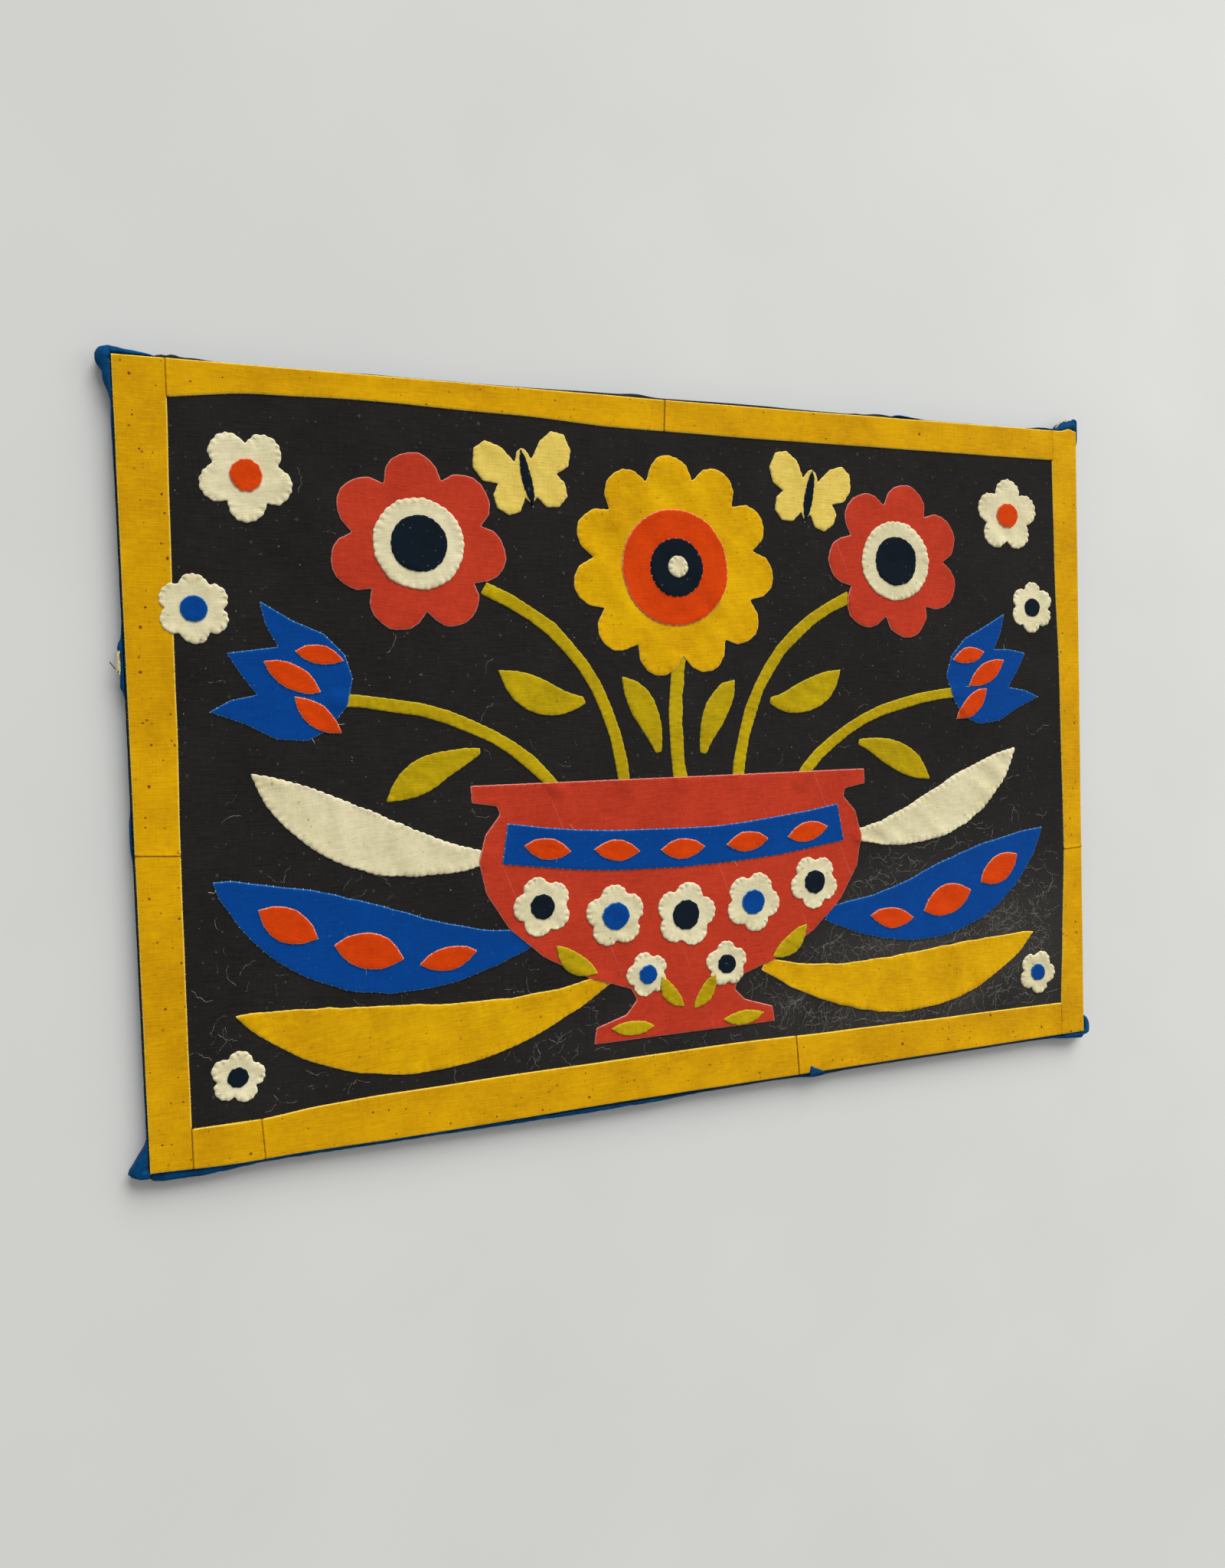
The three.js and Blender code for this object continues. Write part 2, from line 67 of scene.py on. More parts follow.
# How each cloth was cut and sewn: the spacing of its mesh's inner points, the edge points to a stitch,
# how far a stitch pulls the edge in, the depth and greatest length of its tucks, how far the cloth puffs
# up inside its edge, the height, length and turn of its soft ripples, and the height of its creases
SEWING_PARTS = (
    "spacing", "steps", "scallop", "tuck", "tuck_length", "puff", "ripple", "ripple_length", "ripple_turn",
    "crease",
)
SEWING = {
    "red_cotton": (4.2, 5, 0.4, 0.22, 10, 0.3, 0.6, 30, 0.2, 0.12),
    "blue_cotton": (4.0, 5, 0.4, 0.2, 9, 0.3, 0.7, 26, 0.1, 0.12),
    "cream_cotton": (2.6, 7, 0.95, 1.2, 15, 1.2, 2.0, 19, 0.5, 0.3),
    "orange_cotton": (3.2, 6, 0.4, 0.35, 12, 0.45, 0.7, 18, 0.5, 0.2),
    "olive_cotton": (2.6, 6, 0.5, 0.5, 14, 0.45, 1.0, 11, 0.7, 0.65),
    "yellow_cotton": (3.8, 5, 0.5, 0.8, 18, 0.6, 2.0, 24, 0.15, 0.25),
    "pale_cotton": (2.8, 6, 0.6, 0.5, 10, 0.45, 0.9, 14, 0.4, 0.3),
    "navy_cotton": (3.2, 6, 0.4, 0.3, 8, 0.35, 0.5, 16, 0.3, 0.1),
    "edging_cotton": (2.5, 6, 0, 0, 1, 0.2, 0.6, 8, 0.3, 0.3),
    "border_cotton": (5.0, 5, 0.2, 0.12, 8, 0.15, 0.5, 45, 0.2, 0.05),
    "black_cotton": (8.0, 2, 0, 0, 1, 0, 0.35, 70, 0.3, 0),
}

# Each cotton's colour, its darker shade, the paler colour of the highlight painted along its folded
# edge, how strong that painted highlight is, how much its threads and its stains show, the colour of its
# specks and how much they show, and where they differ from the rest, how much its fold lines show and how
# many stains there are to a metre
COTTONS = {
    "black_cotton": ("282523", "121110", "454342", 0.2, 0.7, 0.5, "8a8884", 0.15),
    "border_cotton": ("e2aa00", "ba8200", "f4d860", 0.8, 0.6, 1.1, "6a3200", 0.9),
    "edging_cotton": ("005187", "000e36", "0070aa", 0.0, 0.5, 0.9, "002060", 0.1, 0.04, 55),
    "red_cotton": ("cc4026", "9c2a18", "e29a90", 0.85, 0.55, 0.6, "7a1a10", 0.3, 0.14),
    "blue_cotton": ("00489a", "003376", "4a8ccc", 0.65, 0.45, 0.35, "4080b0", 0.15),
    "cream_cotton": ("ede4be", "c6ba8c", "f8f3da", 0.5, 0.5, 0.9, "7d7448", 0.5),
    "orange_cotton": ("e04704", "ba3000", "f0a488", 0.7, 0.5, 0.6, "8c2400", 0.25),
    "olive_cotton": ("c6aa08", "967b02", "cfc450", 0.5, 0.5, 0.8, "5c5408", 0.35),
    "yellow_cotton": ("e6b300", "c08600", "f8df70", 0.7, 0.6, 1.1, "8a5208", 0.5),
    "pale_cotton": ("ecd26a", "cfae40", "f0dc98", 0.5, 0.9, 0.6, "8a6820", 0.3),
    "navy_cotton": ("0f1b27", "060e16", "24323e", 0.3, 0.4, 0.5, "70787c", 0.3),
}

# The thread that each cotton is sewn down with
THREADS = {
    "red_cotton": "red_thread", "blue_cotton": "pale_thread", "cream_cotton": "cream_thread",
    "orange_cotton": "pale_thread", "olive_cotton": "olive_thread", "yellow_cotton": "yellow_thread",
    "pale_cotton": "cream_thread", "navy_cotton": "pale_thread", "border_cotton": "yellow_thread",
}
THREAD_COLOURS = {
    "red_thread": "b8584c", "pale_thread": "c9d4dc", "cream_thread": "cdc39a", "olive_thread": "8f8520",
    "yellow_thread": "d8b030", "lint": "98938b", "dark_thread": "30343c",
}

# Materials


def paint(code):
    """A colour code's linear red, green, blue and alpha."""
    parts = [int(code[at : at + 2], 16) / 255 for at in (0, 2, 4)]
    return [*(part / 12.92 if part <= 0.04045 else ((part + 0.055) / 1.055) ** 2.4 for part in parts), 1.0]


def add_node(tree, kind, inputs=None, **settings):
    """A node's outputs, with its settings made and its inputs linked to sockets or given plain values."""
    made = tree.nodes.new(kind)
    for name, value in settings.items():
        setattr(made, name, value)
    for key, value in (inputs or {}).items():
        if isinstance(value, bpy.types.NodeSocket):
            tree.links.new(value, made.inputs[key])
        else:
            made.inputs[key].default_value = value
    return made.outputs


def math_node(tree, operation, *values):
    return add_node(tree, "ShaderNodeMath", dict(enumerate(values)), operation=operation)[0]


def product(tree, *values):
    return math_node(tree, "MULTIPLY", *values)


def ranged(tree, value, low, high, least=0.0, most=1.0):
    """A value brought from the range low to high into the range least to most, and held there."""
    inputs = {"Value": value, "From Min": low, "From Max": high, "To Min": least, "To Max": most}
    return add_node(tree, "ShaderNodeMapRange", inputs)["Result"]


def mixed(tree, share, first, second):
    inputs = {0: share, 6: first, 7: second}
    return add_node(tree, "ShaderNodeMix", inputs, data_type="RGBA")[2]


def stretched_noise(tree, place, scale, detail=3.0, roughness=0.55):
    """Noise that is stretched along an axis, with a scale in turns to a metre for each axis."""
    mapping = add_node(tree, "ShaderNodeMapping", {"Vector": place, "Scale": scale})
    inputs = {"Vector": mapping[0], "Scale": 1.0, "Detail": detail, "Roughness": roughness}
    return add_node(tree, "ShaderNodeTexNoise", inputs)["Fac"]


def vector_node(tree, operation, *values):
    return add_node(tree, "ShaderNodeVectorMath", dict(enumerate(values)), operation=operation)


def object_place(tree):
    return add_node(tree, "ShaderNodeTexCoord")["Object"]


def attribute(tree, name):
    return add_node(tree, "ShaderNodeAttribute", attribute_name=name)["Fac"]


def new_material(name):
    """A material, its node tree and the inputs of its shader."""
    material = bpy.data.materials.new(name)
    material.use_nodes = True
    return material, material.node_tree, material.node_tree.nodes["Principled BSDF"].inputs


def finish_shader(tree, shader, body, roughness, height, strength, distance):
    bump = add_node(tree, "ShaderNodeBump", {"Height": height, "Strength": strength, "Distance": distance})
    for key, value in {"Base Color": body, "Roughness": roughness, "Normal": bump[0]}.items():
        tree.links.new(value, shader[key])


def spots(tree, place, scale, size, rarity):
    """Small uneven spots, one in some of the cells of a field with that many cells to a metre, some faint."""
    stray = add_node(tree, "ShaderNodeTexNoise", {"Vector": place, "Scale": 420.0})["Color"]
    moved = vector_node(tree, "MULTIPLY_ADD", stray, (0.0016,) * 3, place)[0]
    cells = add_node(tree, "ShaderNodeTexVoronoi", {"Vector": moved, "Scale": scale}, voronoi_dimensions="2D")
    chosen = add_node(tree, "ShaderNodeSeparateColor", {0: cells["Color"]})
    reach = product(tree, chosen[1], size)
    gap = math_node(tree, "SUBTRACT", cells["Distance"], reach)
    dot = product(tree, ranged(tree, gap, 0.012, -0.012), ranged(tree, chosen[2], 0.0, 0.6))
    return product(tree, dot, math_node(tree, "GREATER_THAN", chosen[0], rarity))


WEAVE_PITCH = 0.0009
WARP_SCALE = (860, 38, 1)
WEFT_SCALE = (38, 860, 1)
FOLD_SPACING = 0.043
FOLD_SLANT = (1.0, 0.34, 0.0)
# The colour and strength of the shade painted along the seams between cloths, where the gap lies in shadow
SEAM_SHADE_COLOUR = "3a2400"
SEAM_SHARE = 0.36
DUST_COLOUR = "77736e"

# Two kinds of specks: how many cells to a metre, their size and their rarity
SPECKS = ((44, 0.08, 0.42), (115, 0.13, 0.8))
COTTON_FINISH = {"Specular IOR Level": 0.08, "Sheen Weight": 0.03, "Sheen Roughness": 0.5}


def pressed_folds(tree, cut):
    """Faint straight lines where the cloth was once folded, here and there."""
    slanted = vector_node(tree, "DOT_PRODUCT", cut, FOLD_SLANT)["Value"]
    away = math_node(tree, "PINGPONG", slanted, FOLD_SPACING)
    kept = ranged(tree, stretched_noise(tree, cut, (13, 13, 1), 1.0), 0.5, 0.6)
    return product(tree, ranged(tree, away, 0.0009, 0.0002), kept)


def woven_height(tree, place):
    """The over and under of a plain weave, from -1 to 1."""
    parts = add_node(tree, "ShaderNodeSeparateXYZ", {0: place})
    turns = 2 * math.pi / WEAVE_PITCH
    waves = [math_node(tree, "SINE", product(tree, parts[axis], turns)) for axis in (0, 1)]
    return product(tree, *waves)


def cotton(
    name, colour, shade, edge, highlight_share, slubs, stains, speck, speck_share, folds=0.04, stain_scale=17
):
    """Plain-weave cotton with uneven threads, stains and specks, and a painted highlight on its folded edge.
    """
    material, tree, shader = new_material(name)
    cut = add_node(tree, "ShaderNodeUVMap", uv_map="cut")[0]
    warp = stretched_noise(tree, cut, WARP_SCALE)
    weft = stretched_noise(tree, cut, WEFT_SCALE)
    threads = math_node(tree, "MULTIPLY_ADD", warp, 0.45, product(tree, weft, 1.1))
    stain = stretched_noise(tree, object_place(tree), (stain_scale,) * 3, 5.0, 0.6)
    bloom = stretched_noise(tree, cut, (150, 150, 1), 4.0, 0.65)
    tone = product(tree, math_node(tree, "SUBTRACT", threads, 0.775), slubs * 2.0)
    for part, share in ((stain, stains * 1.5), (bloom, 0.8)):
        tone = math_node(tree, "MULTIPLY_ADD", math_node(tree, "SUBTRACT", part, 0.5), share, tone)
    tone = math_node(tree, "ADD", tone, 0.62)
    specks = math_node(tree, "MAXIMUM", *(spots(tree, cut, *kind) for kind in SPECKS))
    fold_lines = pressed_folds(tree, cut)
    # A highlight painted along the folded edge, where the fold catches the light, broken up unevenly like
    # wear
    at_edge = ranged(tree, attribute(tree, "edge_distance"), 1.15, 0.3)
    edge_highlight = product(tree, at_edge, ranged(tree, bloom, 0.36, 0.5, 0.35))
    fluff = ranged(tree, stretched_noise(tree, cut, (700, 700, 1), 4.0), 0.35, 0.75)
    body = mixed(tree, ranged(tree, tone, 0.0, 1.0), paint(shade), paint(colour))
    # Specks, fold lines, the painted edge highlight, painted shade along seams and dust, laid over the body
    # in turn
    layers = (
        (specks, speck_share, speck), (fold_lines, folds, edge), (edge_highlight, highlight_share, edge),
        (attribute(tree, "seam_shade"), SEAM_SHARE, SEAM_SHADE_COLOUR),
        (attribute(tree, "dust"), fluff, DUST_COLOUR),
    )
    for mask, share, code in layers:
        body = mixed(tree, product(tree, mask, share), body, paint(code))
    height = threads
    for part, share in ((woven_height(tree, cut), 0.25), (bloom, 0.9), (fold_lines, 0.5)):
        height = math_node(tree, "MULTIPLY_ADD", part, share, height)
    finish_shader(tree, shader, body, ranged(tree, bloom, 0.3, 0.7, 0.82, 0.98), height, 0.5, 0.0005)
    for key, value in COTTON_FINISH.items():
        shader[key].default_value = value
    return material


def thread_material(name, colour):
    """Twisted cotton thread, a little paler and darker along its length."""
    material, tree, shader = new_material(name)
    twist = stretched_noise(tree, object_place(tree), (900, 900, 900), 2.0)
    light = [min(1.0, part * 1.3) for part in paint(colour)]
    dark = [part * 0.7 for part in paint(colour)[:3]] + [1.0]
    body = mixed(tree, ranged(tree, twist, 0.35, 0.65), dark, light)
    finish_shader(tree, shader, body, ranged(tree, twist, 0.3, 0.7, 0.6, 0.8), twist, 0.4, 0.0002)
    return material


def pine_material(name, grain_scale):
    """Planed softwood with its grain along the bar."""
    material, tree, shader = new_material(name)
    place = object_place(tree)
    grain = stretched_noise(tree, place, grain_scale, 6.0, 0.65)
    rings = math_node(tree, "PINGPONG", product(tree, grain, 9.0), 1.0)
    fibres = stretched_noise(tree, place, [part * 9 for part in grain_scale], 3.0)
    tone = math_node(tree, "MULTIPLY_ADD", fibres, 0.5, product(tree, rings, 0.6))
    body = mixed(tree, ranged(tree, tone, 0.1, 0.9), paint("d8bc8c"), paint("b08850"))
    finish_shader(tree, shader, body, ranged(tree, fibres, 0.3, 0.7, 0.55, 0.75), tone, 0.3, 0.0003)
    return material


COTTON_MATERIALS = {slot: cotton(slot, *look) for slot, look in COTTONS.items()}
THREAD_MATERIALS = {name: thread_material(name, colour) for name, colour in THREAD_COLOURS.items()}


# Outlines


def from_panel(points):
    """Points given from the panel's middle, in the frame of the whole part."""
    return np.asarray(points, float) + PANEL_CENTRE


def node_outline(name):
    """The corners of a CAD sheet's upper face, counter-clockwise, in millimetres."""
    sheet = bmesh.new()
    sheet.from_mesh(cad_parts[name].data)
    bmesh.ops.remove_doubles(sheet, verts=sheet.verts, dist=1e-6)
    sheet.normal_update()
    top = max(corner.co.z for corner in sheet.verts)
    upper = {
        face for face in sheet.faces
        if face.normal.z > 0.99 and face.calc_center_median().z > top - 1e-5
    }
    following = {}
    for face in upper:
        for loop in face.loops:
            if not any(other in upper for other in loop.edge.link_faces if other != face):
                following[loop.vert] = loop.link_loop_next.vert
    start = min(following, key=lambda corner: tuple(corner.co))
    walked = [start]
    while following[walked[-1]] != start:
        walked.append(following[walked[-1]])
    outline = np.array([corner.co[:2] for corner in walked]) / MM
    sheet.free()
    return outline


def lengths_to(points):
    """How far along a line each of its points lies."""
    return np.concatenate([[0], np.cumsum(np.linalg.norm(np.diff(points, axis=0), axis=1))])


def perimeter_of(outline):
    return np.linalg.norm(outline - np.roll(outline, -1, axis=0), axis=1).sum()


def evenly_along(line, count):
    """Evenly spaced points along a line, without its last one."""
    at = lengths_to(line)
    wanted = np.linspace(0, at[-1], count, endpoint=False)
    return np.column_stack([np.interp(wanted, at, line[:, axis]) for axis in (0, 1)])


def resampled(outline, count):
    """Evenly spaced points round a closed outline."""
    return evenly_along(np.vstack([outline, outline[:1]]), count)


CORNER_TURN = 0.9


def corners_of(outline):
    """Which points of an outline are sharp corners."""
    before = outline - np.roll(outline, 1, axis=0)
    after = np.roll(outline, -1, axis=0) - outline
    turn = np.arctan2(
        before[:, 0] * after[:, 1] - before[:, 1] * after[:, 0], (before * after).sum(1)
    )
    return np.flatnonzero(np.abs(turn) > CORNER_TURN)


def divided(outline, spacing):
    """Points round an outline, about that far apart, and which of them are its sharp corners."""
    corners = corners_of(outline)
    if not len(corners):
        return resampled(outline, round(perimeter_of(outline) / spacing)), corners
    points, kept = [], []
    for first, last in zip(corners, np.roll(corners, -1)):
        beyond = last + (len(outline) if last <= first else 0)
        span = outline[np.arange(first, beyond + 1) % len(outline)]
        kept.append(len(points))
        points.extend(evenly_along(span, max(1, round(lengths_to(span)[-1] / spacing))))
    return np.array(points), np.array(kept)


def blended(values, axis=0):
    """Each value blended with the ones before and after it."""
    return 0.25 * np.roll(values, 1, axis=axis) + 0.5 * values + 0.25 * np.roll(values, -1, axis=axis)


def eased(outline, kept=()):
    """An outline with its bends a little rounded, apart from the corners that are kept."""
    rounded = blended(outline)
    rounded[list(kept)] = outline[list(kept)]
    return rounded


def distances_round(outline):
    """How far round an outline each of its points lies."""
    steps = np.linalg.norm(np.roll(outline, -1, axis=0) - outline, axis=1)
    return np.concatenate([[0], np.cumsum(steps)[:-1]])


def outward_of(outline):
    """The direction away from the cloth at each point of a counter-clockwise outline."""
    along = np.roll(outline, -1, axis=0) - np.roll(outline, 1, axis=0)
    along /= np.linalg.norm(along, axis=1)[:, None]
    return np.column_stack([along[:, 1], -along[:, 0]])


# How many points are compared with an outline at a time
BLOCK_SIZE = 1500


def nearest_edge(points, outline):
    """Each point's distance to an outline, and how far round the outline its nearest place lies."""
    step = np.roll(outline, -1, axis=0) - outline
    length = np.linalg.norm(step, axis=1)
    at = distances_round(outline)
    distance = np.empty(len(points))
    along = np.empty(len(points))
    for first in range(0, len(points), BLOCK_SIZE):
        block = slice(first, first + BLOCK_SIZE)
        offset = points[block, None, :] - outline[None]
        share = np.clip((offset * step).sum(2) / length**2, 0, 1)
        gap = np.linalg.norm(offset - share[..., None] * step, axis=2)
        nearest = gap.argmin(1)
        rows = np.arange(len(nearest))
        distance[block] = gap[rows, nearest]
        along[block] = at[nearest] + share[rows, nearest] * length[nearest]
    return distance, along


def is_inside(points, outline):
    after = np.roll(outline, -1, axis=0)
    inside = np.zeros(len(points), bool)
    for (x1, y1), (x2, y2) in zip(outline, after):
        if y1 == y2:
            continue
        crosses = (y1 > points[:, 1]) != (y2 > points[:, 1])
        inside ^= crosses & (points[:, 0] < (x2 - x1) * (points[:, 1] - y1) / (y2 - y1) + x1)
    return inside


def soft_noise(x, y, seed):
    """Smooth unevenness, from about -1 to 1."""
    return np.array([noise.noise((a, b, seed)) for a, b in zip(x, y)])


def wander(points, most, length, seed):
    """Smooth unevenness over an area, to about that much either way and with that length."""
    return most * soft_noise(*(points / length).T, seed)


def bell(x, middle, width):
    """A smooth swell, 1 at its middle."""
    return np.exp(-(((x - middle) / width) ** 2))


def turned(points, angle):
    """Points as they lie from axes turned by an angle."""
    across = points[:, 0] * math.cos(angle) + points[:, 1] * math.sin(angle)
    up = points[:, 1] * math.cos(angle) - points[:, 0] * math.sin(angle)
    return np.column_stack([across, up])


AXIS_POINTS = 60


def main_axis(outline):
    """The angle of an outline's long axis."""
    spread = resampled(outline, AXIS_POINTS)
    axes = np.linalg.svd(spread - spread.mean(0), full_matrices=False)[2]
    return math.atan2(axes[0, 1], axes[0, 0])


# The height of what has been laid so far, on a grid over the panel
GRID_STEP = 2.0
GRID_LOW = np.array([-624.0, -434.0])
GRID_COLUMNS = 624
GRID_ROWS = 434
laid = np.full((GRID_ROWS, GRID_COLUMNS), GROUND_TOP)


def eased_heights():
    """The laid heights as the next cloth drapes over them."""
    highest = laid.copy()
    for axis in (0, 1):
        for shift in (-1, 1):
            highest = np.maximum(highest, np.roll(laid, shift, axis=axis))
    for _ in range(2):
        for axis in (0, 1):
            highest = blended(highest, axis)
    return highest


def height_at(points, heights):
    place = (points - GRID_LOW) / GRID_STEP
    column = np.clip(place[:, 0].astype(int), 0, GRID_COLUMNS - 2)
    row = np.clip(place[:, 1].astype(int), 0, GRID_ROWS - 2)
    across = place[:, 0] - column
    up = place[:, 1] - row
    low = heights[row, column] * (1 - across) + heights[row, column + 1] * across
    high = heights[row + 1, column] * (1 - across) + heights[row + 1, column + 1] * across
    return low * (1 - up) + high * up


def lay(edge, heights, standing):
    """Raises the laid heights inside a cloth's edge to its top, by what standing gives for any places."""
    low = np.maximum(((edge.min(0) - GRID_LOW) / GRID_STEP).astype(int) - 1, 0)
    high = ((edge.max(0) - GRID_LOW) / GRID_STEP).astype(int) + 2
    columns, rows = np.meshgrid(
        np.arange(low[0], min(high[0], GRID_COLUMNS)), np.arange(low[1], min(high[1], GRID_ROWS))
    )
    columns, rows = columns.ravel(), rows.ravel()
    places = np.column_stack([columns, rows]) * GRID_STEP + GRID_LOW
    inside = is_inside(places, edge)
    columns, rows = columns[inside], rows[inside]
    laid[rows, columns] = heights[rows, columns] + standing(places[inside])


# Cloth pieces

stitches = {thread: {"places": [], "outward": []} for thread in THREAD_COLOURS}
made_pieces = []

# Rings of points inside the edge, and the rim's rings outside it: how far out and up from the edge's top,
# and the share of the edge's swelling that they take
EDGE_RINGS = (0.5, 1.7, 3.8)
PLAIN_RIM = ((0.14, -0.26, 0),)
BORDER_RIM = ((0.3, -0.3, 0), (0.25, -0.7, 0))
GROUND_RIM = (
    (0.6, -0.15, 0.7), (1.2, -0.8, 1.0), (1.45, -2.6, 1.0), (1.45, -9, 0.35), (1.3, -16, 0.3),
    (0.5, -16, 0.3), (0.6, -2.8, 0.6), (-0.4, -1.0, 0.2),
)

# How much of its own inset a ring keeps to the edge, and the gap from the rings to the inner points, in
# shares of their spacing
RING_SHARE = 0.9
FIELD_GAP = 0.6

# How far the edge and the back are drawn in or down, and how thin and low a cloth may become
EDGE_SINK = 0.36
BACK_SINK = 0.03
BACK_INSET = 0.2
LEAST_THICKNESS = 0.45
LOWEST_EDGE = 0.2
DEEPEST_DIP = 0.5
RIM_WEAVE_STEP = 0.5

# Cloths closer than this are joined, with a line of painted shade of this width along the seam
JOINED_GAP = 1.2
SEAM_WIDTH = 0.5

# How far stitches stray along the edge, in shares of their pitch, and the fewest stitches round a cloth
STITCH_STRAY = 0.18
FEWEST_STITCHES = 6

# The range of the tucks' lengths and depths, as shares of the greatest, the width of a tuck at the edge
# and its growth away from it, and where the puffed edge starts and ends
TUCK_LENGTHS = (0.3, 1.0)
TUCK_DEPTHS = (0.4, 1.3)
TUCK_WIDTH = 1.3
TUCK_WIDENING = 0.12
PUFF_START = 1.6
PUFF_END = 14

# The range of the ripples' turn, how much longer than wide they are, how much finer the creases are, how
# much of both there is at the edge and where they are whole
RIPPLE_TURNS = (0.6, 1.2)
RIPPLE_STRETCH = 3.5
CREASE_FINENESS = 1.6
CREASE_LEVEL = 0.4
RIPPLE_AT_EDGE = 0.15
RIPPLE_START = 3


def sewn_edge(outline, sewing, random, sharp):
    """The outline as it is sewn, in even points pulled in at each stitch, and which points have a stitch."""
    edge, corners = divided(outline, STITCH_PITCH / sewing["steps"])
    edge = eased(edge, corners if sharp else ())
    around = perimeter_of(edge)
    count = max(FEWEST_STITCHES, round(around / STITCH_PITCH))
    at = distances_round(edge)
    wanted = (np.arange(count) + random.uniform(-STITCH_STRAY, STITCH_STRAY, count)) * around / count
    places = np.unique(stitch_gap(wanted % around, at, around)[1])
    gap = stitch_gap(at, at[places], around)[0]
    pull = sewing["scallop"] * bell(gap, 0, PULL_WIDTH)
    return edge - outward_of(edge) * pull[:, None], places


def stitch_gap(at, stitch_at, around):
    """The distance along the edge to the nearest stitch, and which stitch that is."""
    gap = np.abs(at[:, None] - stitch_at[None])
    gap = np.minimum(gap, around - gap)
    nearest = gap.argmin(1)
    return gap[np.arange(len(at)), nearest], nearest


def inner_points(edge, spacing):
    """Points inside the edge: rings close to it, and an even field further in."""
    outward = outward_of(edge)
    kept = []
    for inset in EDGE_RINGS:
        ring = edge - outward * inset
        distance = nearest_edge(ring, edge)[0]
        kept.append(ring[(distance > RING_SHARE * inset) & is_inside(ring, edge)])
    low, high = edge.min(0), edge.max(0)
    rows = np.arange(low[1], high[1], spacing * math.sqrt(3) / 2)
    field = np.array([
        (x + (spacing / 2 if row % 2 else 0), y)
        for row, y in enumerate(rows) for x in np.arange(low[0], high[0], spacing)
    ])
    field = field[is_inside(field, edge)]
    if len(field):
        field = field[nearest_edge(field, edge)[0] > EDGE_RINGS[-1] + FIELD_GAP * spacing]
        kept.append(field)
    return np.vstack(kept)


def relief(points, distance, along, edge, places, sewing, seed):
    """How far the sewn cloth stands above lying flat: its puffed edge, tucks, turned hem and ripples."""
    random = np.random.default_rng(seed)
    gap, nearest = stitch_gap(along, distances_round(edge)[places], perimeter_of(edge))
    lengths = random.uniform(*TUCK_LENGTHS, len(places)) * sewing["tuck_length"]
    depths = random.uniform(*TUCK_DEPTHS, len(places)) * sewing["tuck"]
    fade = np.clip(1 - distance / lengths[nearest], 0, 1)
    tucks = -depths[nearest] * bell(gap, 0, TUCK_WIDTH + TUCK_WIDENING * distance) * fade
    puff = sewing["puff"] * (1 - np.exp(-distance / PUFF_START)) * np.exp(-distance / PUFF_END)
    hem = HEM_RISE * np.clip((HEM_WIDTH + HEM_EASE - distance) / HEM_EASE, 0, 1)
    hem = np.where(distance < HEM_START, 0, hem)
    x, y = turned(points, main_axis(edge) + sewing["ripple_turn"] * random.uniform(*RIPPLE_TURNS)).T
    length = sewing["ripple_length"]
    away = random.uniform(0, 90)
    inner = np.clip(distance / RIPPLE_START, RIPPLE_AT_EDGE, 1)
    ripples = soft_noise(x / length, y / (RIPPLE_STRETCH * length), away)
    finer = soft_noise(CREASE_FINENESS * x / length, y / (CREASE_FINENESS * length), away + 5)
    creases = CREASE_LEVEL - np.abs(finer)
    raised = tucks + puff + hem + (sewing["ripple"] * ripples + sewing["crease"] * creases) * inner
    return np.where(raised < 0, DEEPEST_DIP * np.tanh(raised / DEEPEST_DIP), raised)


def triangulated(edge, inner):
    """Triangles over the edge's points and those inside it."""
    points = np.vstack([edge, inner])
    loop = [(i, (i + 1) % len(edge)) for i in range(len(edge))]
    made = delaunay_2d_cdt([Vector(point) for point in points], loop, [], 0, 1e-7, False)
    if len(made[0]) != len(points):
        raise ValueError("the cloth's outline crosses itself")
    triangles = np.array(made[2])
    triangles = triangles[is_inside(points[triangles].mean(1), edge)]
    a, b, c = (points[triangles[:, i]] for i in range(3))
    turn = (b[:, 0] - a[:, 0]) * (c[:, 1] - a[:, 1]) - (b[:, 1] - a[:, 1]) * (c[:, 0] - a[:, 0])
    triangles[turn < 0] = triangles[turn < 0][:, ::-1]
    return points, triangles.tolist()


def add_attribute(mesh, name, values):
    mesh.attributes.new(name, "FLOAT", "POINT").data.foreach_set("value", values)


def finish_mesh(mesh, distance, weave, weave_turn, offset):
    """Gives a cloth its smooth shading, its distance from the edge, and its weave's own UV map."""
    mesh.shade_smooth()
    add_attribute(mesh, "edge_distance", distance)
    place = turned(weave, weave_turn) * MM + offset
    corners = np.empty(len(mesh.loops), int)
    mesh.loops.foreach_get("vertex_index", corners)
    mesh.uv_layers.new(name="cut").data.foreach_set("uv", place[corners].ravel())


def add_object(name, data, material=None):
    if material:
        data.materials.append(material)
    made = bpy.data.objects.new(name, data)
    bpy.context.scene.collection.objects.link(made)
    return made


def layered_mesh(name, rings, triangles, count):
    """A closed cloth from its top, its rim's rings and its back, with count points round its edge."""
    starts = [0] + [len(rings[0]) + i * count for i in range(len(rings) - 1)]
    last = starts[-1]
    faces = triangles + [(last + c, last + b, last + a) for a, b, c in triangles]
    for upper, lower in zip(starts, starts[1:]):
        for i in range(count):
            j = (i + 1) % count
            faces.append((upper + i, lower + i, lower + j, upper + j))
    mesh = bpy.data.meshes.new(name)
    mesh.from_pydata((np.vstack(rings) * MM).tolist(), [], faces)
    return mesh


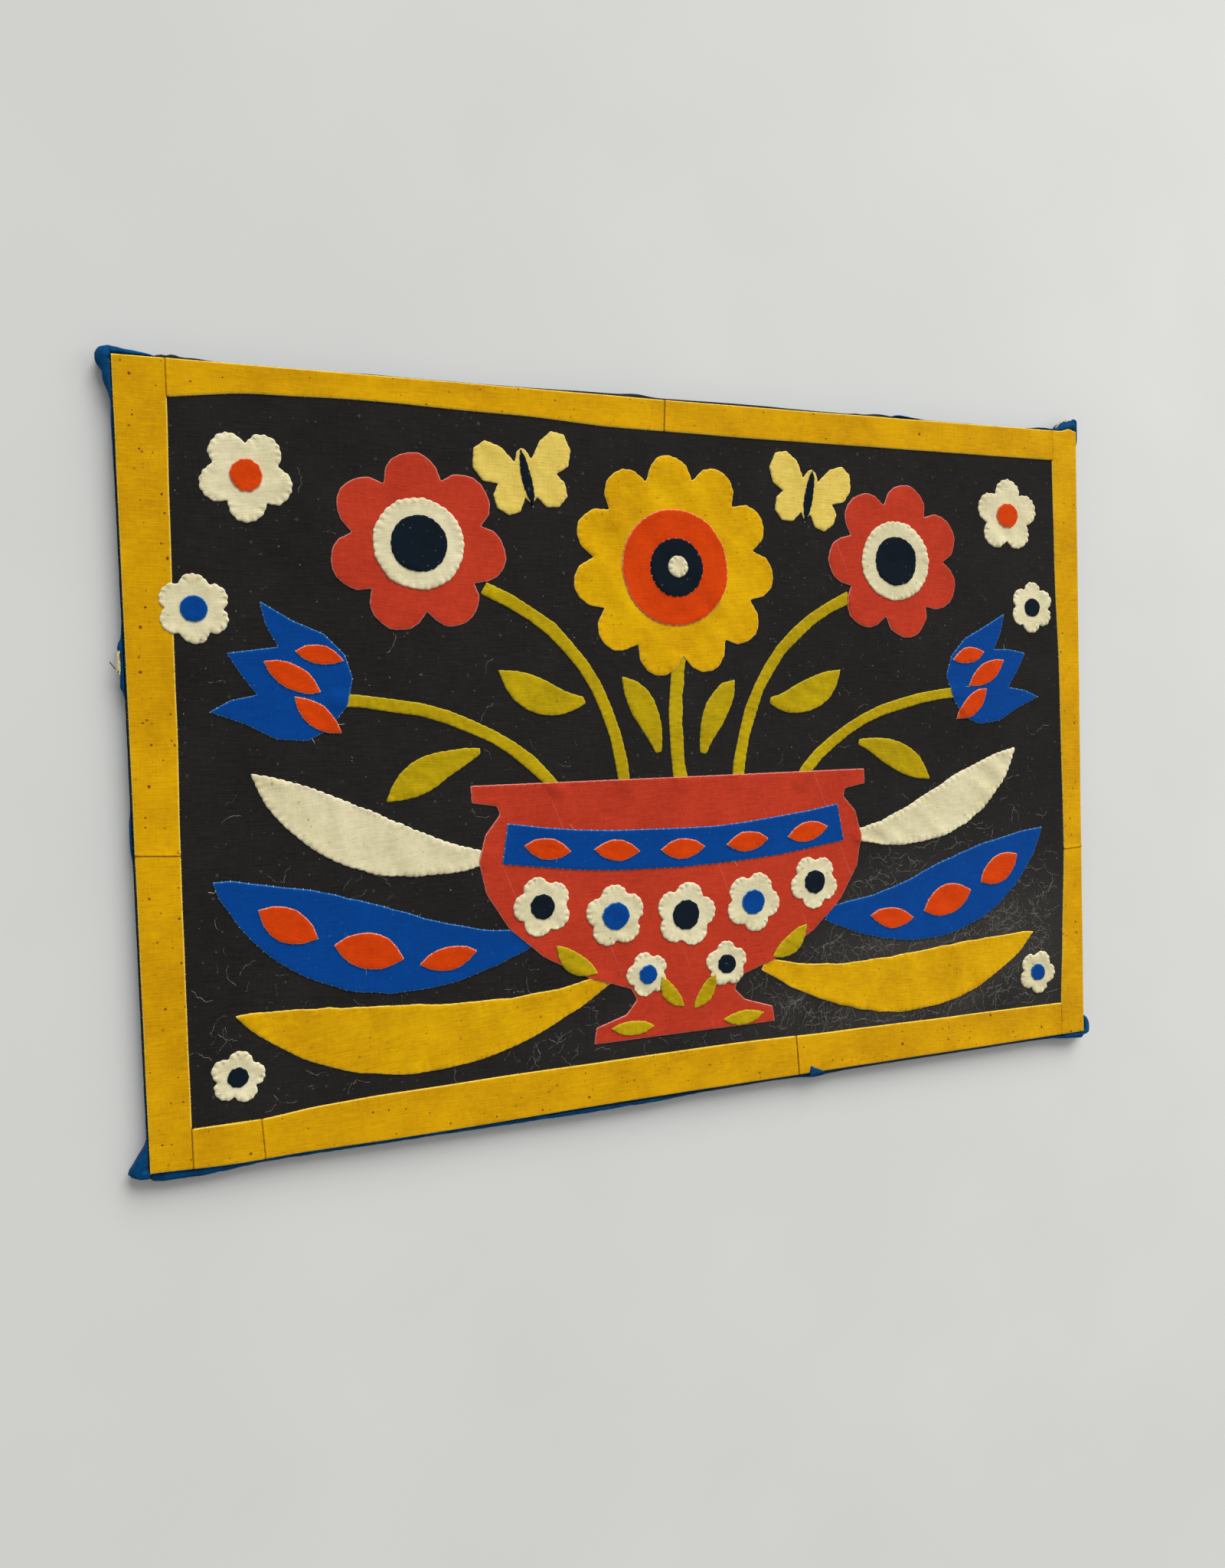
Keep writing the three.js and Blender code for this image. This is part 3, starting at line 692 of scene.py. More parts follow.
def seam_looks(edge, seams, distance, along):
    """Which points of the edge are joined to other cloths, how far each point counts as lying from a folded
    edge for its painted highlight, and how much painted shade a seam gives it.

    Along a seam nothing is folded, so it counts as far from a folded edge and takes no painted highlight.
    """
    count = len(edge)
    seen_distance = distance.copy()
    seam_shade = np.zeros(len(distance))
    joined = np.zeros(count, bool)
    for other in seams:
        joined |= nearest_edge(edge, other)[0] < JOINED_GAP
    if joined.any():
        at_joined = joined[np.searchsorted(distances_round(edge), along, side="right") - 1]
        seen_distance[at_joined] = HEM_WIDTH
        seen_distance[:count][joined] = HEM_WIDTH
        seam_shade[at_joined] = np.clip(1 - distance[at_joined] / SEAM_WIDTH, 0, 1)
        seam_shade[:count] = joined
    return joined, seen_distance, seam_shade


def make_cloth(
    name, outline, slot, seed, node=None, thickness=CLOTH, rim=PLAIN_RIM, back_drop=-0.6, seams=(),
    swell=None, sewn=True, stitched=True, sharp=False, weave_turn=0.05,
):
    """A sewn-on cloth, draped over what is laid already, which stands for a CAD node where one is named.

    seams are outlines that it is joined to edge to edge, and swell gives how far its rim swells at its edge.
    """
    random = np.random.default_rng(seed)
    sewing = dict(zip(SEWING_PARTS, SEWING[slot]))
    edge, places = sewn_edge(outline, sewing, random, sharp)
    points, triangles = triangulated(edge, inner_points(edge, sewing["spacing"]))
    distance, along = nearest_edge(points, edge)
    count = len(edge)
    distance[:count] = 0
    heights = eased_heights()
    resting = height_at(points, heights)
    top = resting + thickness + relief(points, distance, along, edge, places, sewing, seed)
    top[:count] = np.maximum(top[:count] - EDGE_SINK, resting[:count] + LOWEST_EDGE)
    outward = outward_of(edge)
    swollen = swell(edge) if swell else np.zeros(count)
    rings = [np.column_stack([points, top])]
    for out, up, share in rim:
        rings.append(np.column_stack([edge + outward * (out + swollen * share)[:, None], top[:count] + up]))
    back = np.minimum(resting - BACK_SINK, top - LEAST_THICKNESS)
    back[:count] = np.minimum(back[:count], top[:count] + back_drop)
    rings.append(np.column_stack([points, back]))
    rings[-1][:count, :2] -= outward * BACK_INSET
    mesh = layered_mesh(name, rings, triangles, count)
    joined, seen_distance, seam_shade = seam_looks(edge, seams, distance, along)
    rim_distance = np.tile(seen_distance[:count], len(rim))
    rim_shade = np.tile(seam_shade[:count], len(rim))
    spread = random.uniform(-5, 5, 2)
    rim_weave = [edge + outward * RIM_WEAVE_STEP * i for i in range(len(rim))]
    weave = np.vstack([points, *rim_weave, points])
    turn = weave_turn * random.uniform(-1, 1)
    finish_mesh(mesh, np.concatenate([seen_distance, rim_distance, distance]), weave, turn, spread)
    add_attribute(mesh, "seam_shade", np.concatenate([seam_shade, rim_shade, np.zeros(len(points))]))
    made = add_object(f"{name}_cloth", mesh, COTTON_MATERIALS[slot])

    def standing(spots_inside):
        away, nearest = nearest_edge(spots_inside, edge)
        return thickness + relief(spots_inside, away, nearest, edge, places, sewing, seed)

    if sewn and stitched:
        held = stitches[THREADS[slot]]
        for place in places[~joined[places]]:
            held["places"].append((*edge[place], top[place]))
            held["outward"].append((*outward[place], 0.0))
    if sewn:
        lay(edge, heights, standing)
    made_pieces.append({"piece": made, "outline": edge, "slot": slot, "node": node})
    return made


# Ground cloth, which turns down over the stretcher bars

# Lumps of spare ground cloth past the panel's top edge: along it, half width and how far out
GROUND_LUMPS = (
    (-556, 5, 3.2), (-544, 7, 3.8), (-524, 16, 1.9), (-350, 18, 0.7), (-95, 45, 1.3), (-42, 18, 2.4),
    (95, 85, 1.2), (254, 8, 1.0), (288, 20, 2.6),
)
GROUND_SWELLS = {"left": 0.85, "bottom": 2.0}
SWELL_STARTS = (40, 110)
GROUND_INSET = 0.7
GROUND_SPACING = 4.0
GROUND_WANDER = {"most": 0.35, "length": 35, "seed": 4.2}

# How close to the panel's side a cloth's edge lies where it turns over that side
NEAR_SIDE = 3


def ground_outline():
    corners = np.array([(-1, -1), (1, -1), (1, 1), (-1, 1)]) * (PANEL_HALF - GROUND_INSET)
    outline = divided(corners, GROUND_SPACING)[0]
    return from_panel(outline + outward_of(outline) * wander(outline, **GROUND_WANDER)[:, None])


def ground_swell(edge):
    """How far the ground cloth stands out from the panel's side, at each point of its edge."""
    place = edge - PANEL_CENTRE
    x, y = place.T
    from_ends = [np.interp(inset, SWELL_STARTS, (0, 1)) for inset in (PANEL_HALF - abs(place)).T]
    swollen = np.zeros(len(edge))
    for middle, width, out in GROUND_LUMPS:
        swollen += (y > PANEL_HALF[1] - NEAR_SIDE) * out * bell(x, middle, width)
    swollen += (x < NEAR_SIDE - PANEL_HALF[0]) * GROUND_SWELLS["left"] * from_ends[1]
    below = (y < NEAR_SIDE - PANEL_HALF[1]) * GROUND_SWELLS["bottom"] * from_ends[0]
    return np.maximum(swollen, below)


# Where dust and hairs lie on the ground cloth: count of hairs, middle and spread
HAIR_CLUSTERS = (
    ("right", 2100, (380, -280), (150, 80)), ("middle", 520, (120, -330), (260, 40)),
    ("left", 130, (-420, -250), (120, 90)), ("upper", 130, (0, 120), (420, 200)),
)
DUST_MOST = 0.5
DUST_SPREAD = 1.5
DUST_WANDER = {"most": 0.5, "length": 60, "seed": 2.3}


def ground_dust(points):
    """How dusty the ground cloth is at each point, from 0 to 1."""
    place = points - PANEL_CENTRE
    dust = np.zeros(len(points))
    for _, count, middle, spread in HAIR_CLUSTERS:
        away = (((place - middle) / (DUST_SPREAD * np.array(spread))) ** 2).sum(1)
        dust += count / HAIR_CLUSTERS[0][1] * np.exp(-away)
    return DUST_MOST * np.clip(dust, 0, 1) * (0.75 + wander(place, **DUST_WANDER))


laid[:] = GROUND_TOP - CLOTH
ground = make_cloth(
    "panel_ground", ground_outline(), "black_cotton", seed=3, node="ground_cloth",
    rim=GROUND_RIM, back_drop=-0.9, swell=ground_swell, sewn=False, sharp=True, weave_turn=0.01,
)
corners = np.array([corner.co[:2] for corner in ground.data.vertices]) / MM
add_attribute(ground.data, "dust", ground_dust(corners))
laid[:] = GROUND_TOP

# Border strips

BORDER_PIECES = {"left": 2, "right": 2, "top": 2, "bottom": 3}
BORDER_NODES = [f"border_{side}_{i + 1}" for side, count in BORDER_PIECES.items() for i in range(count)]

# Where the border's outer edge is pulled out: below or above, place along it, half width and how far
EDGE_BULGES = ((1, 588, 8, 3.5), (-1, -520, 55, 2.6), (-1, -330, 170, 2.9), (1, 60, 330, -1.6))
OUTER_EDGE = 1.2
BORDER_SPACING = 3.0
BORDER_EASING = 25
BORDER_WANDER = {"most": 0.25, "length": 50, "seed": 1.7}
BULGE_REACH = 2
FIRST_BORDER_SEED = 20


def border_outline(name):
    """A border piece's outline, taken out to the panel's edge where it is folded over it."""
    outline = node_outline(name) - PANEL_CENTRE
    at_edge = np.abs(outline) > PANEL_HALF - OUTER_EDGE
    outline = np.where(at_edge, np.sign(outline) * PANEL_HALF, outline)
    outline, corners = divided(outline, BORDER_SPACING)
    for _ in range(BORDER_EASING):
        outline = eased(outline, corners)
    level = outline[:, 1].copy()
    for way, middle, width, out in EDGE_BULGES:
        on_edge = level * way > PANEL_HALF[1] - BULGE_REACH
        outline[:, 1] += on_edge * way * out * bell(outline[:, 0], middle, width)
    axis = 0 if "left" in name or "right" in name else 1
    outline[:, axis] += wander(outline, **BORDER_WANDER)
    return from_panel(outline)


border_outlines = {name: border_outline(name) for name in BORDER_NODES}
for index, name in enumerate(BORDER_NODES):
    others = [outline for other, outline in border_outlines.items() if other != name]
    make_cloth(
        name, border_outlines[name], "border_cotton", FIRST_BORDER_SEED + index, node=name,
        thickness=BORDER_CLOTH, rim=BORDER_RIM, back_drop=-0.75, seams=others, sharp=True, weave_turn=0.02,
    )

# Sewn shapes that the CAD has, from the lowest layer up

SEWN_NODES = [
    ("olive_cotton", ["centre_stem", "bloom_stem_*", "tulip_stem_*", "stem_leaf_*", "bloom_leaf_*"]),
    ("olive_cotton", ["tulip_leaf_*"]),
    ("yellow_cotton", ["long_leaf_yellow_*"]),
    ("blue_cotton", ["long_leaf_blue_*"]),
    ("cream_cotton", ["long_leaf_cream_*", "far_blossom_*", "low_blossom_*", "edge_blossom_right"]),
    ("pale_cotton", ["butterfly_*"]),
    ("red_cotton", ["bloom_*", "bowl"]),
    ("yellow_cotton", ["sunflower"]),
    ("blue_cotton", ["tulip_*"]),
    ("cream_cotton", ["edge_blossom_left", "bloom_ring_*"]),
    ("orange_cotton", ["sunflower_heart"]),
    ("blue_cotton", ["bowl_band"]),
]
BOWL_BLOSSOMS = [f"bowl_blossom_{index + 1}" for index in range(7)]
FIRST_SHAPE_SEED = 100
SHAPE_WEAVE_TURN = 0.12
BLOSSOM_WEAVE_TURN = 0.6


def sided(name):
    """A name and its mirrored one, where it ends in a star."""
    return [name.replace("*", side) for side in ("left", "right")] if name.endswith("*") else [name]


sewn_shapes = [
    (name, slot, SHAPE_WEAVE_TURN) for slot, names in SEWN_NODES for each in names for name in sided(each)
]
sewn_shapes += [(name, "cream_cotton", BLOSSOM_WEAVE_TURN) for name in BOWL_BLOSSOMS]
for index, (name, slot, weave_turn) in enumerate(sewn_shapes):
    make_cloth(name, node_outline(name), slot, FIRST_SHAPE_SEED + index, node=name, weave_turn=weave_turn)

# Smaller sewn shapes of the upper layers

CUT_STEP = 11.0
CUT_STRAY = 0.6
FEWEST_CUTS = {"disc": 9, "lozenge": 5}
BELLY_FULLNESS = 0.75
FIRST_SMALL_SEED = 300
SMALL_WEAVE_TURN = 0.5


def hand_cut(outline, random):
    """A shape's corners, a little off their places as scissors leave them."""
    return outline + random.uniform(-CUT_STRAY, CUT_STRAY, outline.shape)


def disc(radius):
    corners = max(FEWEST_CUTS["disc"], round(2 * math.pi * radius / CUT_STEP))
    angle = np.linspace(0, 2 * math.pi, corners, endpoint=False)
    return radius * np.column_stack([np.cos(angle), np.sin(angle)])


def lozenge(length, width, lean=0.0):
    """A seed shape with pointed ends, its belly drawn to one side by lean."""
    share = np.linspace(0, 1, max(FEWEST_CUTS["lozenge"], round(length / CUT_STEP) + 1))
    belly = np.sin(math.pi * share) ** BELLY_FULLNESS * width / 2
    drawn = lean * width * np.sin(math.pi * share)
    x = (share - 0.5) * length
    lower = np.column_stack([x, drawn - belly])
    upper = np.column_stack([x, drawn + belly])[1:-1][::-1]
    return np.vstack([lower, upper])


def placed(outline, at, turn=0.0):
    """An outline turned about its own middle and set on the panel."""
    c, s = math.cos(turn), math.sin(turn)
    return from_panel(outline @ np.array([[c, s], [-s, c]]) + np.array(at, float))


HAND_DRIFT = np.array([5.0, -4.0])


def other_side(at):
    return (-at[0] + HAND_DRIFT[0], at[1] + HAND_DRIFT[1])


# Seed shapes on the left half: name, cotton, middle, length, width, turn and lean
PAIRED_LOZENGES = [
    ("blue_leaf_inner", "orange_cotton", (-286, -219), 66, 27, 3.28, 0.05),
    ("blue_leaf_middle", "orange_cotton", (-372, -205), 78, 40, 2.86, -0.04),
    ("blue_leaf_outer", "orange_cotton", (-455, -168), 70, 36, 2.62, 0.04),
    ("tulip_petal_near", "orange_cotton", (-416, 50), 62, 25, 2.45, 0.06),
    ("tulip_petal_middle", "orange_cotton", (-440, 90), 66, 26, 2.62, 0.0),
    ("tulip_petal_far", "orange_cotton", (-412, 112), 52, 21, 2.95, -0.05),
    ("butterfly_body", "navy_cotton", (-178, 308), 66, 12, 1.77, 0.0),
    ("bowl_leaf_outer", "olive_cotton", (-136, -236), 62, 24, 2.5, 0.25),
    ("bowl_leaf_inner", "olive_cotton", (-18, -286), 50, 19, 2.2, 0.2),
    ("bowl_foot_leaf", "olive_cotton", (-70, -322), 56, 18, 3.1, 0.1),
]
BAND_LOZENGES = [(-168, -107), (-84, -114), (0, -117), (86, -114), (170, -107)]
BAND_LOZENGE = {"length": 58, "width": 25}
BAND_TURN = 0.09

# Hearts of the blossoms: name, cotton, middle and radius
HEARTS = [
    ("bloom_eye_left", "navy_cotton", (-302, 232), 31), ("bloom_eye_right", "navy_cotton", (307, 228), 31),
    ("sunflower_eye", "navy_cotton", (2, 213), 34), ("sunflower_dot", "cream_cotton", (3, 214), 13),
    ("far_heart_left", "orange_cotton", (-478, 296), 17),
    ("far_heart_right", "orange_cotton", (483, 292), 17),
    ("edge_heart_left", "blue_cotton", (-534, 160), 14), ("edge_heart_right", "navy_cotton", (522, 172), 13),
    ("low_heart_left", "navy_cotton", (-512, -322), 11), ("low_heart_right", "blue_cotton", (522, -318), 12),
    ("bowl_heart_1", "navy_cotton", (-176, -172), 15), ("bowl_heart_2", "blue_cotton", (-88, -190), 17),
    ("bowl_heart_3", "navy_cotton", (2, -196), 18), ("bowl_heart_4", "blue_cotton", (92, -188), 16),
    ("bowl_heart_5", "navy_cotton", (178, -170), 15), ("bowl_heart_6", "blue_cotton", (-50, -262), 12),
    ("bowl_heart_7", "navy_cotton", (54, -260), 12),
]


def small_shapes():
    """Each small shape's name, cotton, outline about its own middle, middle on the panel and turn."""
    for name, slot, at, length, width, turn, lean in PAIRED_LOZENGES:
        yield f"{name}_left", slot, lozenge(length, width, lean), at, turn
        yield f"{name}_right", slot, lozenge(length, width, -lean), other_side(at), math.pi - turn
    for index, at in enumerate(BAND_LOZENGES):
        turn = BAND_TURN * (index - 2)
        yield f"band_lozenge_{index + 1}", "orange_cotton", lozenge(**BAND_LOZENGE), at, turn
    for name, slot, at, radius in HEARTS:
        yield name, slot, disc(radius), at, 0.0


for seed, (name, slot, shape, at, turn) in enumerate(small_shapes(), FIRST_SMALL_SEED):
    outline = placed(hand_cut(shape, np.random.default_rng(seed)), at, turn)
    make_cloth(name, outline, slot, seed, weave_turn=SMALL_WEAVE_TURN)

# Blue edging, rolled softly round the panel's sides onto its back

# Each side's first corner, the way along it, the way out, its length and the edging's least distance from it
SIDES = {
    "left": ((-1, -1), (0, 1), (-1, 0), PANEL_HEIGHT, 1.9),
    "right": ((1, -1), (0, 1), (1, 0), PANEL_HEIGHT, 1.8),
    "top": ((-1, 1), (1, 0), (0, 1), PANEL_WIDTH, 1.9),
    "bottom": ((-1, -1), (1, 0), (0, -1), PANEL_WIDTH, 3.05),
}

# The edging's roll along each side: distance along it, how far out it stands, and how high up it reaches
EDGING_ROLLS = {
    "left": [
        (-9, 8, 12), (-8, 11.5, 17), (-5.8, 13.4, 19.5), (-4.8, 17.4, 18.6), (-1, 20.6, 19.6),
        (3, 19.8, 20.3), (8, 15.6, 20.4), (14, 11.6, 20.4), (20, 8, 20), (26, 4.4, 19), (31, 2.4, 17.5),
        (300, 2.5, 17.5), (316, 2.8, 17.5), (326, 4.6, 18), (352, 4.5, 18), (370, 2.6, 17.5),
        (478, 2.5, 17.5), (484, 3.8, 18.2), (490, 6.6, 19), (496, 6.3, 19), (512, 5.1, 18.8),
        (521, 5, 18.8), (525, 6.6, 19), (529, 7.4, 19), (534, 6.6, 18.8), (538, 4.4, 18.3), (545, 3.3, 18),
        (556, 2.5, 17.5), (690, 2.6, 17.5), (735, 3.1, 18), (758, 3.4, 18.5), (768, 2.8, 18),
        (775, 3.2, 19), (783, 5.2, 20.4), (791, 8.2, 20.4), (796, 9.2, 20.4), (802, 8.9, 20.4),
        (805, 11.2, 20.4), (809, 13.8, 20.4), (813, 14.8, 20.4), (818, 14.8, 20.4), (822, 13, 20),
        (825, 10, 18.5), (826.5, 6, 14),
    ],
    "right": [
        (-8.5, 7, 13), (-7, 11, 17), (-3, 14, 20), (3, 15, 20.4), (9, 14.6, 20.4), (14, 12.4, 20.4),
        (18, 9.4, 20), (21, 6, 18), (24, 3, 15), (40, 2.5, 13), (780, 2.5, 13), (796, 3.4, 19),
        (804, 5, 20.4), (818, 5.4, 20.4), (829, 5.6, 20.4), (833, 5, 20), (834.8, 2.5, 17),
    ],
    "top": [
        (-0.8, 9.4, 20.4), (5, 9.2, 20.4), (10, 7.8, 20.4), (20, 6.6, 20.3), (29, 5.4, 20.2), (36, 3.9, 20),
        (42, 3, 16), (52, 2.9, 12.5), (895, 2.9, 12.5), (908, 3.2, 17), (914, 4.6, 20), (921, 5.2, 20.4),
        (930, 4.2, 20), (946, 3, 18), (965, 2.9, 12.5), (1116, 2.9, 12.5), (1130, 3, 18), (1140, 4.2, 20),
        (1152, 4.4, 20.2), (1163, 3.4, 19.8), (1170, 4, 20), (1175, 7, 20.4), (1180, 12, 20.4),
        (1185, 14.8, 20.4), (1193, 16, 20.4), (1200.8, 18, 20.4),
    ],
    "bottom": [
        (-0.8, 8, 16.5), (1, 10.4, 18), (4, 11.8, 18.5), (25, 12.6, 18.5), (52, 12.6, 18.5), (76, 11.6, 18),
        (98, 9.6, 17.8), (116, 8.8, 17.5), (180, 8.6, 18), (360, 9.2, 18.5), (470, 9.8, 19), (560, 9, 18.5),
        (620, 6.6, 17.5), (720, 5.8, 17), (752, 6.4, 18), (764, 7.6, 19.5), (776, 8.2, 20.2),
        (790, 7.4, 19.5), (812, 6.4, 18), (850, 6, 17), (1100, 6, 16.5), (1150, 6.4, 17.5), (1170, 8.4, 19),
        (1188, 10, 19.8), (1200.8, 10.6, 20),
    ],
}
EDGING_STEP = 2.6
EDGING_WEAVE_STEP = 1.5
EDGING_THICKNESS = 1.0
EDGING_POINTS = 20
FLAP_DEPTH = 28.0
LEAST_FLAP = 0.5
FOLD_LINE = 0.4
LOWEST_FOLD = 0.6

# The roll's outer line from the panel's back up its side: shares of how far out and how high up it is
EDGING_ROLL = (
    (0.4, 0.015), (0.68, 0.07), (0.86, 0.16), (0.95, 0.28), (1.0, 0.45), (1.0, 0.62), (0.97, 0.76),
    (0.88, 0.88), (0.7, 0.96), (0.45, 1.0),
)
BACK_SHARE = 0.12

# Creases: their depth on the roll and on the ears, how far out a roll and an ear stand, and for the long
# and the fine creases their length along the edging and how many there are round it
CREASE_DEPTHS = (0.5, 3.2)
EAR_ROLLS = (5.5, 12.0)
LONG_CREASES = (30, 6.5)
FINE_CREASES = (8, 5)
LONG_CREASE_LEVEL = 0.45
LONG_CREASE_SHARE = 0.55
FINE_CREASE_DEPTH = 0.35

# Shares of the roll's height: where it starts to bend level, and how much further until it is level
BEND_START = 0.7
BEND_LENGTH = 0.3

# Where the roll's outer and inner lines start, how far out and up it is at least, and the gap and the
# drop with which its outer line turns in at its end
ROLL_START = 0.8
INNER_START = 0.2
INNER_DROP = 0.2
LEAST_OUT = 0.4
LEAST_UP = 0.05
CLOTH_GAP = 0.45
ROLL_END = (0.5, 0.1)

# The edging's least distance from the panel's side at its ears, and how wide it is past its flap
EAR_CLEAR = 0.8
ROLL_WIDTH = 24
FIRST_EDGING_SEED = 11.3


def edging_section(roll, top, clear, flap, folded, at, seed):
    """One closed section of the edging as (out, up) points, creased along its roll.

    clear is the least distance from the panel's side. Past a corner the edging is folded onto itself.
    """
    depth = CREASE_DEPTHS[0] + (CREASE_DEPTHS[1] - CREASE_DEPTHS[0]) * np.interp(roll, EAR_ROLLS, (0.0, 1.0))
    stages = np.linspace(0, 1, EDGING_POINTS)
    knots = np.linspace(0, 1, len(EDGING_ROLL))
    shares, rises = (np.interp(stages, knots, part) for part in zip(*EDGING_ROLL))
    outer = [(-flap, 0.0), (-flap / 2, 0.0), (-LEAST_OUT, 0.0)]
    inner = []
    for stage, share, rise in zip(stages, shares, rises):
        ridge = abs(noise.noise((at / LONG_CREASES[0], stage * LONG_CREASES[1], seed)))
        fine = noise.noise((at / FINE_CREASES[0], stage * FINE_CREASES[1], seed + 3))
        crease = depth * LONG_CREASE_SHARE * (LONG_CREASE_LEVEL - ridge * 2) + FINE_CREASE_DEPTH * fine
        tilt = math.pi / 2 * min(1.0, max(0.0, (rise - BEND_START) / BEND_LENGTH))
        sideways, upwards = math.cos(tilt), math.sin(tilt)
        out = share * roll + (1 - share) * ROLL_START + crease * sideways
        up = max(LEAST_UP, top * rise + 0.5 * crease * upwards)
        beside = rise > BACK_SHARE
        out = max(out, clear + CLOTH_GAP if beside else LEAST_OUT)
        outer.append((out, up))
        if beside:
            below = up - EDGING_THICKNESS * upwards - INNER_DROP
            inner.append((max(out - EDGING_THICKNESS * sideways, clear), below))
        else:
            inner.append((min(out, INNER_START), EDGING_THICKNESS))
    outer.append((clear + ROLL_END[0], outer[-1][1] - ROLL_END[1]))
    inner = inner[::-1] + [(out, EDGING_THICKNESS) for out in (INNER_START, -flap / 2, -flap)]
    if folded:
        inner = [(FOLD_LINE, max(up, LOWEST_FOLD)) for _, up in inner]
        outer[:3] = [(FOLD_LINE, up) for _, up in outer[:3]]
    return outer + inner


def closed_skin(name, rings):
    """A closed body through rings of points, with its faces turned outwards."""
    count = rings.shape[1]
    faces = []
    for ring in range(len(rings) - 1):
        for corner in range(count):
            a = ring * count + corner
            b = ring * count + (corner + 1) % count
            faces.append((a, b, b + count, a + count))
    last = (len(rings) - 1) * count
    faces.append(tuple(range(count)))
    faces.append(tuple(range(last + count - 1, last - 1, -1)))
    mesh = bpy.data.meshes.new(name)
    mesh.from_pydata((rings.reshape(-1, 3) * MM).tolist(), [], faces)
    body = bmesh.new()
    body.from_mesh(mesh)
    bmesh.ops.recalc_face_normals(body, faces=body.faces)
    body.to_mesh(mesh)
    body.free()
    return mesh


def make_edging(side, seed):
    first_corner, along, outward, length, side_clear = SIDES[side]
    places_along, rolls, tops = zip(*EDGING_ROLLS[side])
    start, end = places_along[0], places_along[-1]
    stations = np.linspace(start, end, round((end - start) / EDGING_STEP))
    rings = []
    weave = []
    corner = np.array(first_corner) * PANEL_HALF
    for at in stations:
        inside = min(at, length - at)
        flap = min(max(inside, LEAST_FLAP), FLAP_DEPTH)
        roll, top = (np.interp(at, places_along, values) for values in (rolls, tops))
        clear = np.interp(inside, SWELL_STARTS, (EAR_CLEAR, side_clear))
        section = edging_section(roll, top, clear, flap, inside < 0, at, seed)
        places = [corner + np.array(along) * at + np.array(outward) * out for out, _ in section]
        rings.append([(*from_panel(place), up) for place, (_, up) in zip(places, section)])
        weave.append([(at, index * EDGING_WEAVE_STEP) for index in range(len(section))])
    rings, weave = np.array(rings), np.array(weave, float).reshape(-1, 2)
    mesh = closed_skin(f"edging_{side}", rings)
    finish_mesh(mesh, np.full(len(weave), HEM_WIDTH), weave, 0.0, np.array([seed * 0.7, 0.3]))
    made = add_object(f"edging_{side}_cloth", mesh, COTTON_MATERIALS["edging_cotton"])
    made_pieces.append({
        "piece": made, "slot": "edging_cotton", "node": f"edging_{side}", "held": "folded",
        "flat": ((FLAP_DEPTH + ROLL_WIDTH) * MM, (end - start) * MM), "rests_on": f"bar_{side}",
    })


for index, side in enumerate(SIDES):
    make_edging(side, FIRST_EDGING_SEED + index)

# A small tuck of the edging folded up over the border at the bottom
TUCK_FLAT = (0.025, 0.014)
EDGING_TUCK = [
    (165, -412), (187, -411), (184, -407.5), (177, -404.5), (172, -402.5), (167, -399), (165.5, -405),
]
make_cloth(
    "edging_tuck", from_panel(EDGING_TUCK), "edging_cotton", seed=15,
    thickness=1.2, stitched=False, weave_turn=0.8,
)
made_pieces[-1].update(held="folded", flat=TUCK_FLAT, rests_on="ground_cloth")

# Hand stitches: a short bent thread over the edge at each place

# The stitch tree's inputs: lengths in metres, then what makes the threads differ and how fine they are
THREAD_LENGTHS = ("Thread radius", "Reach inside", "Reach outside", "Lift", "Bow", "Sway")
THREAD_VARIETY = ("Slant", "Least size", "Most size", "Steps")
THREAD_SOCKETS = {
    "Places": "Geometry", **dict.fromkeys(THREAD_LENGTHS + THREAD_VARIETY, "Float"), "Steps": "Int",
    "Seed": "Int", "Thread": "Material",
}
THREAD_SIDES = 4
END_FALL = -1.6
SWAY_SCALE = 170.0


def combined(tree, parts):
    return add_node(tree, "ShaderNodeCombineXYZ", parts)[0]


def random_value(tree, least, most, seed):
    inputs = {2: least, 3: most, "Seed": seed}
    return add_node(tree, "FunctionNodeRandomValue", inputs, data_type="FLOAT")[1]


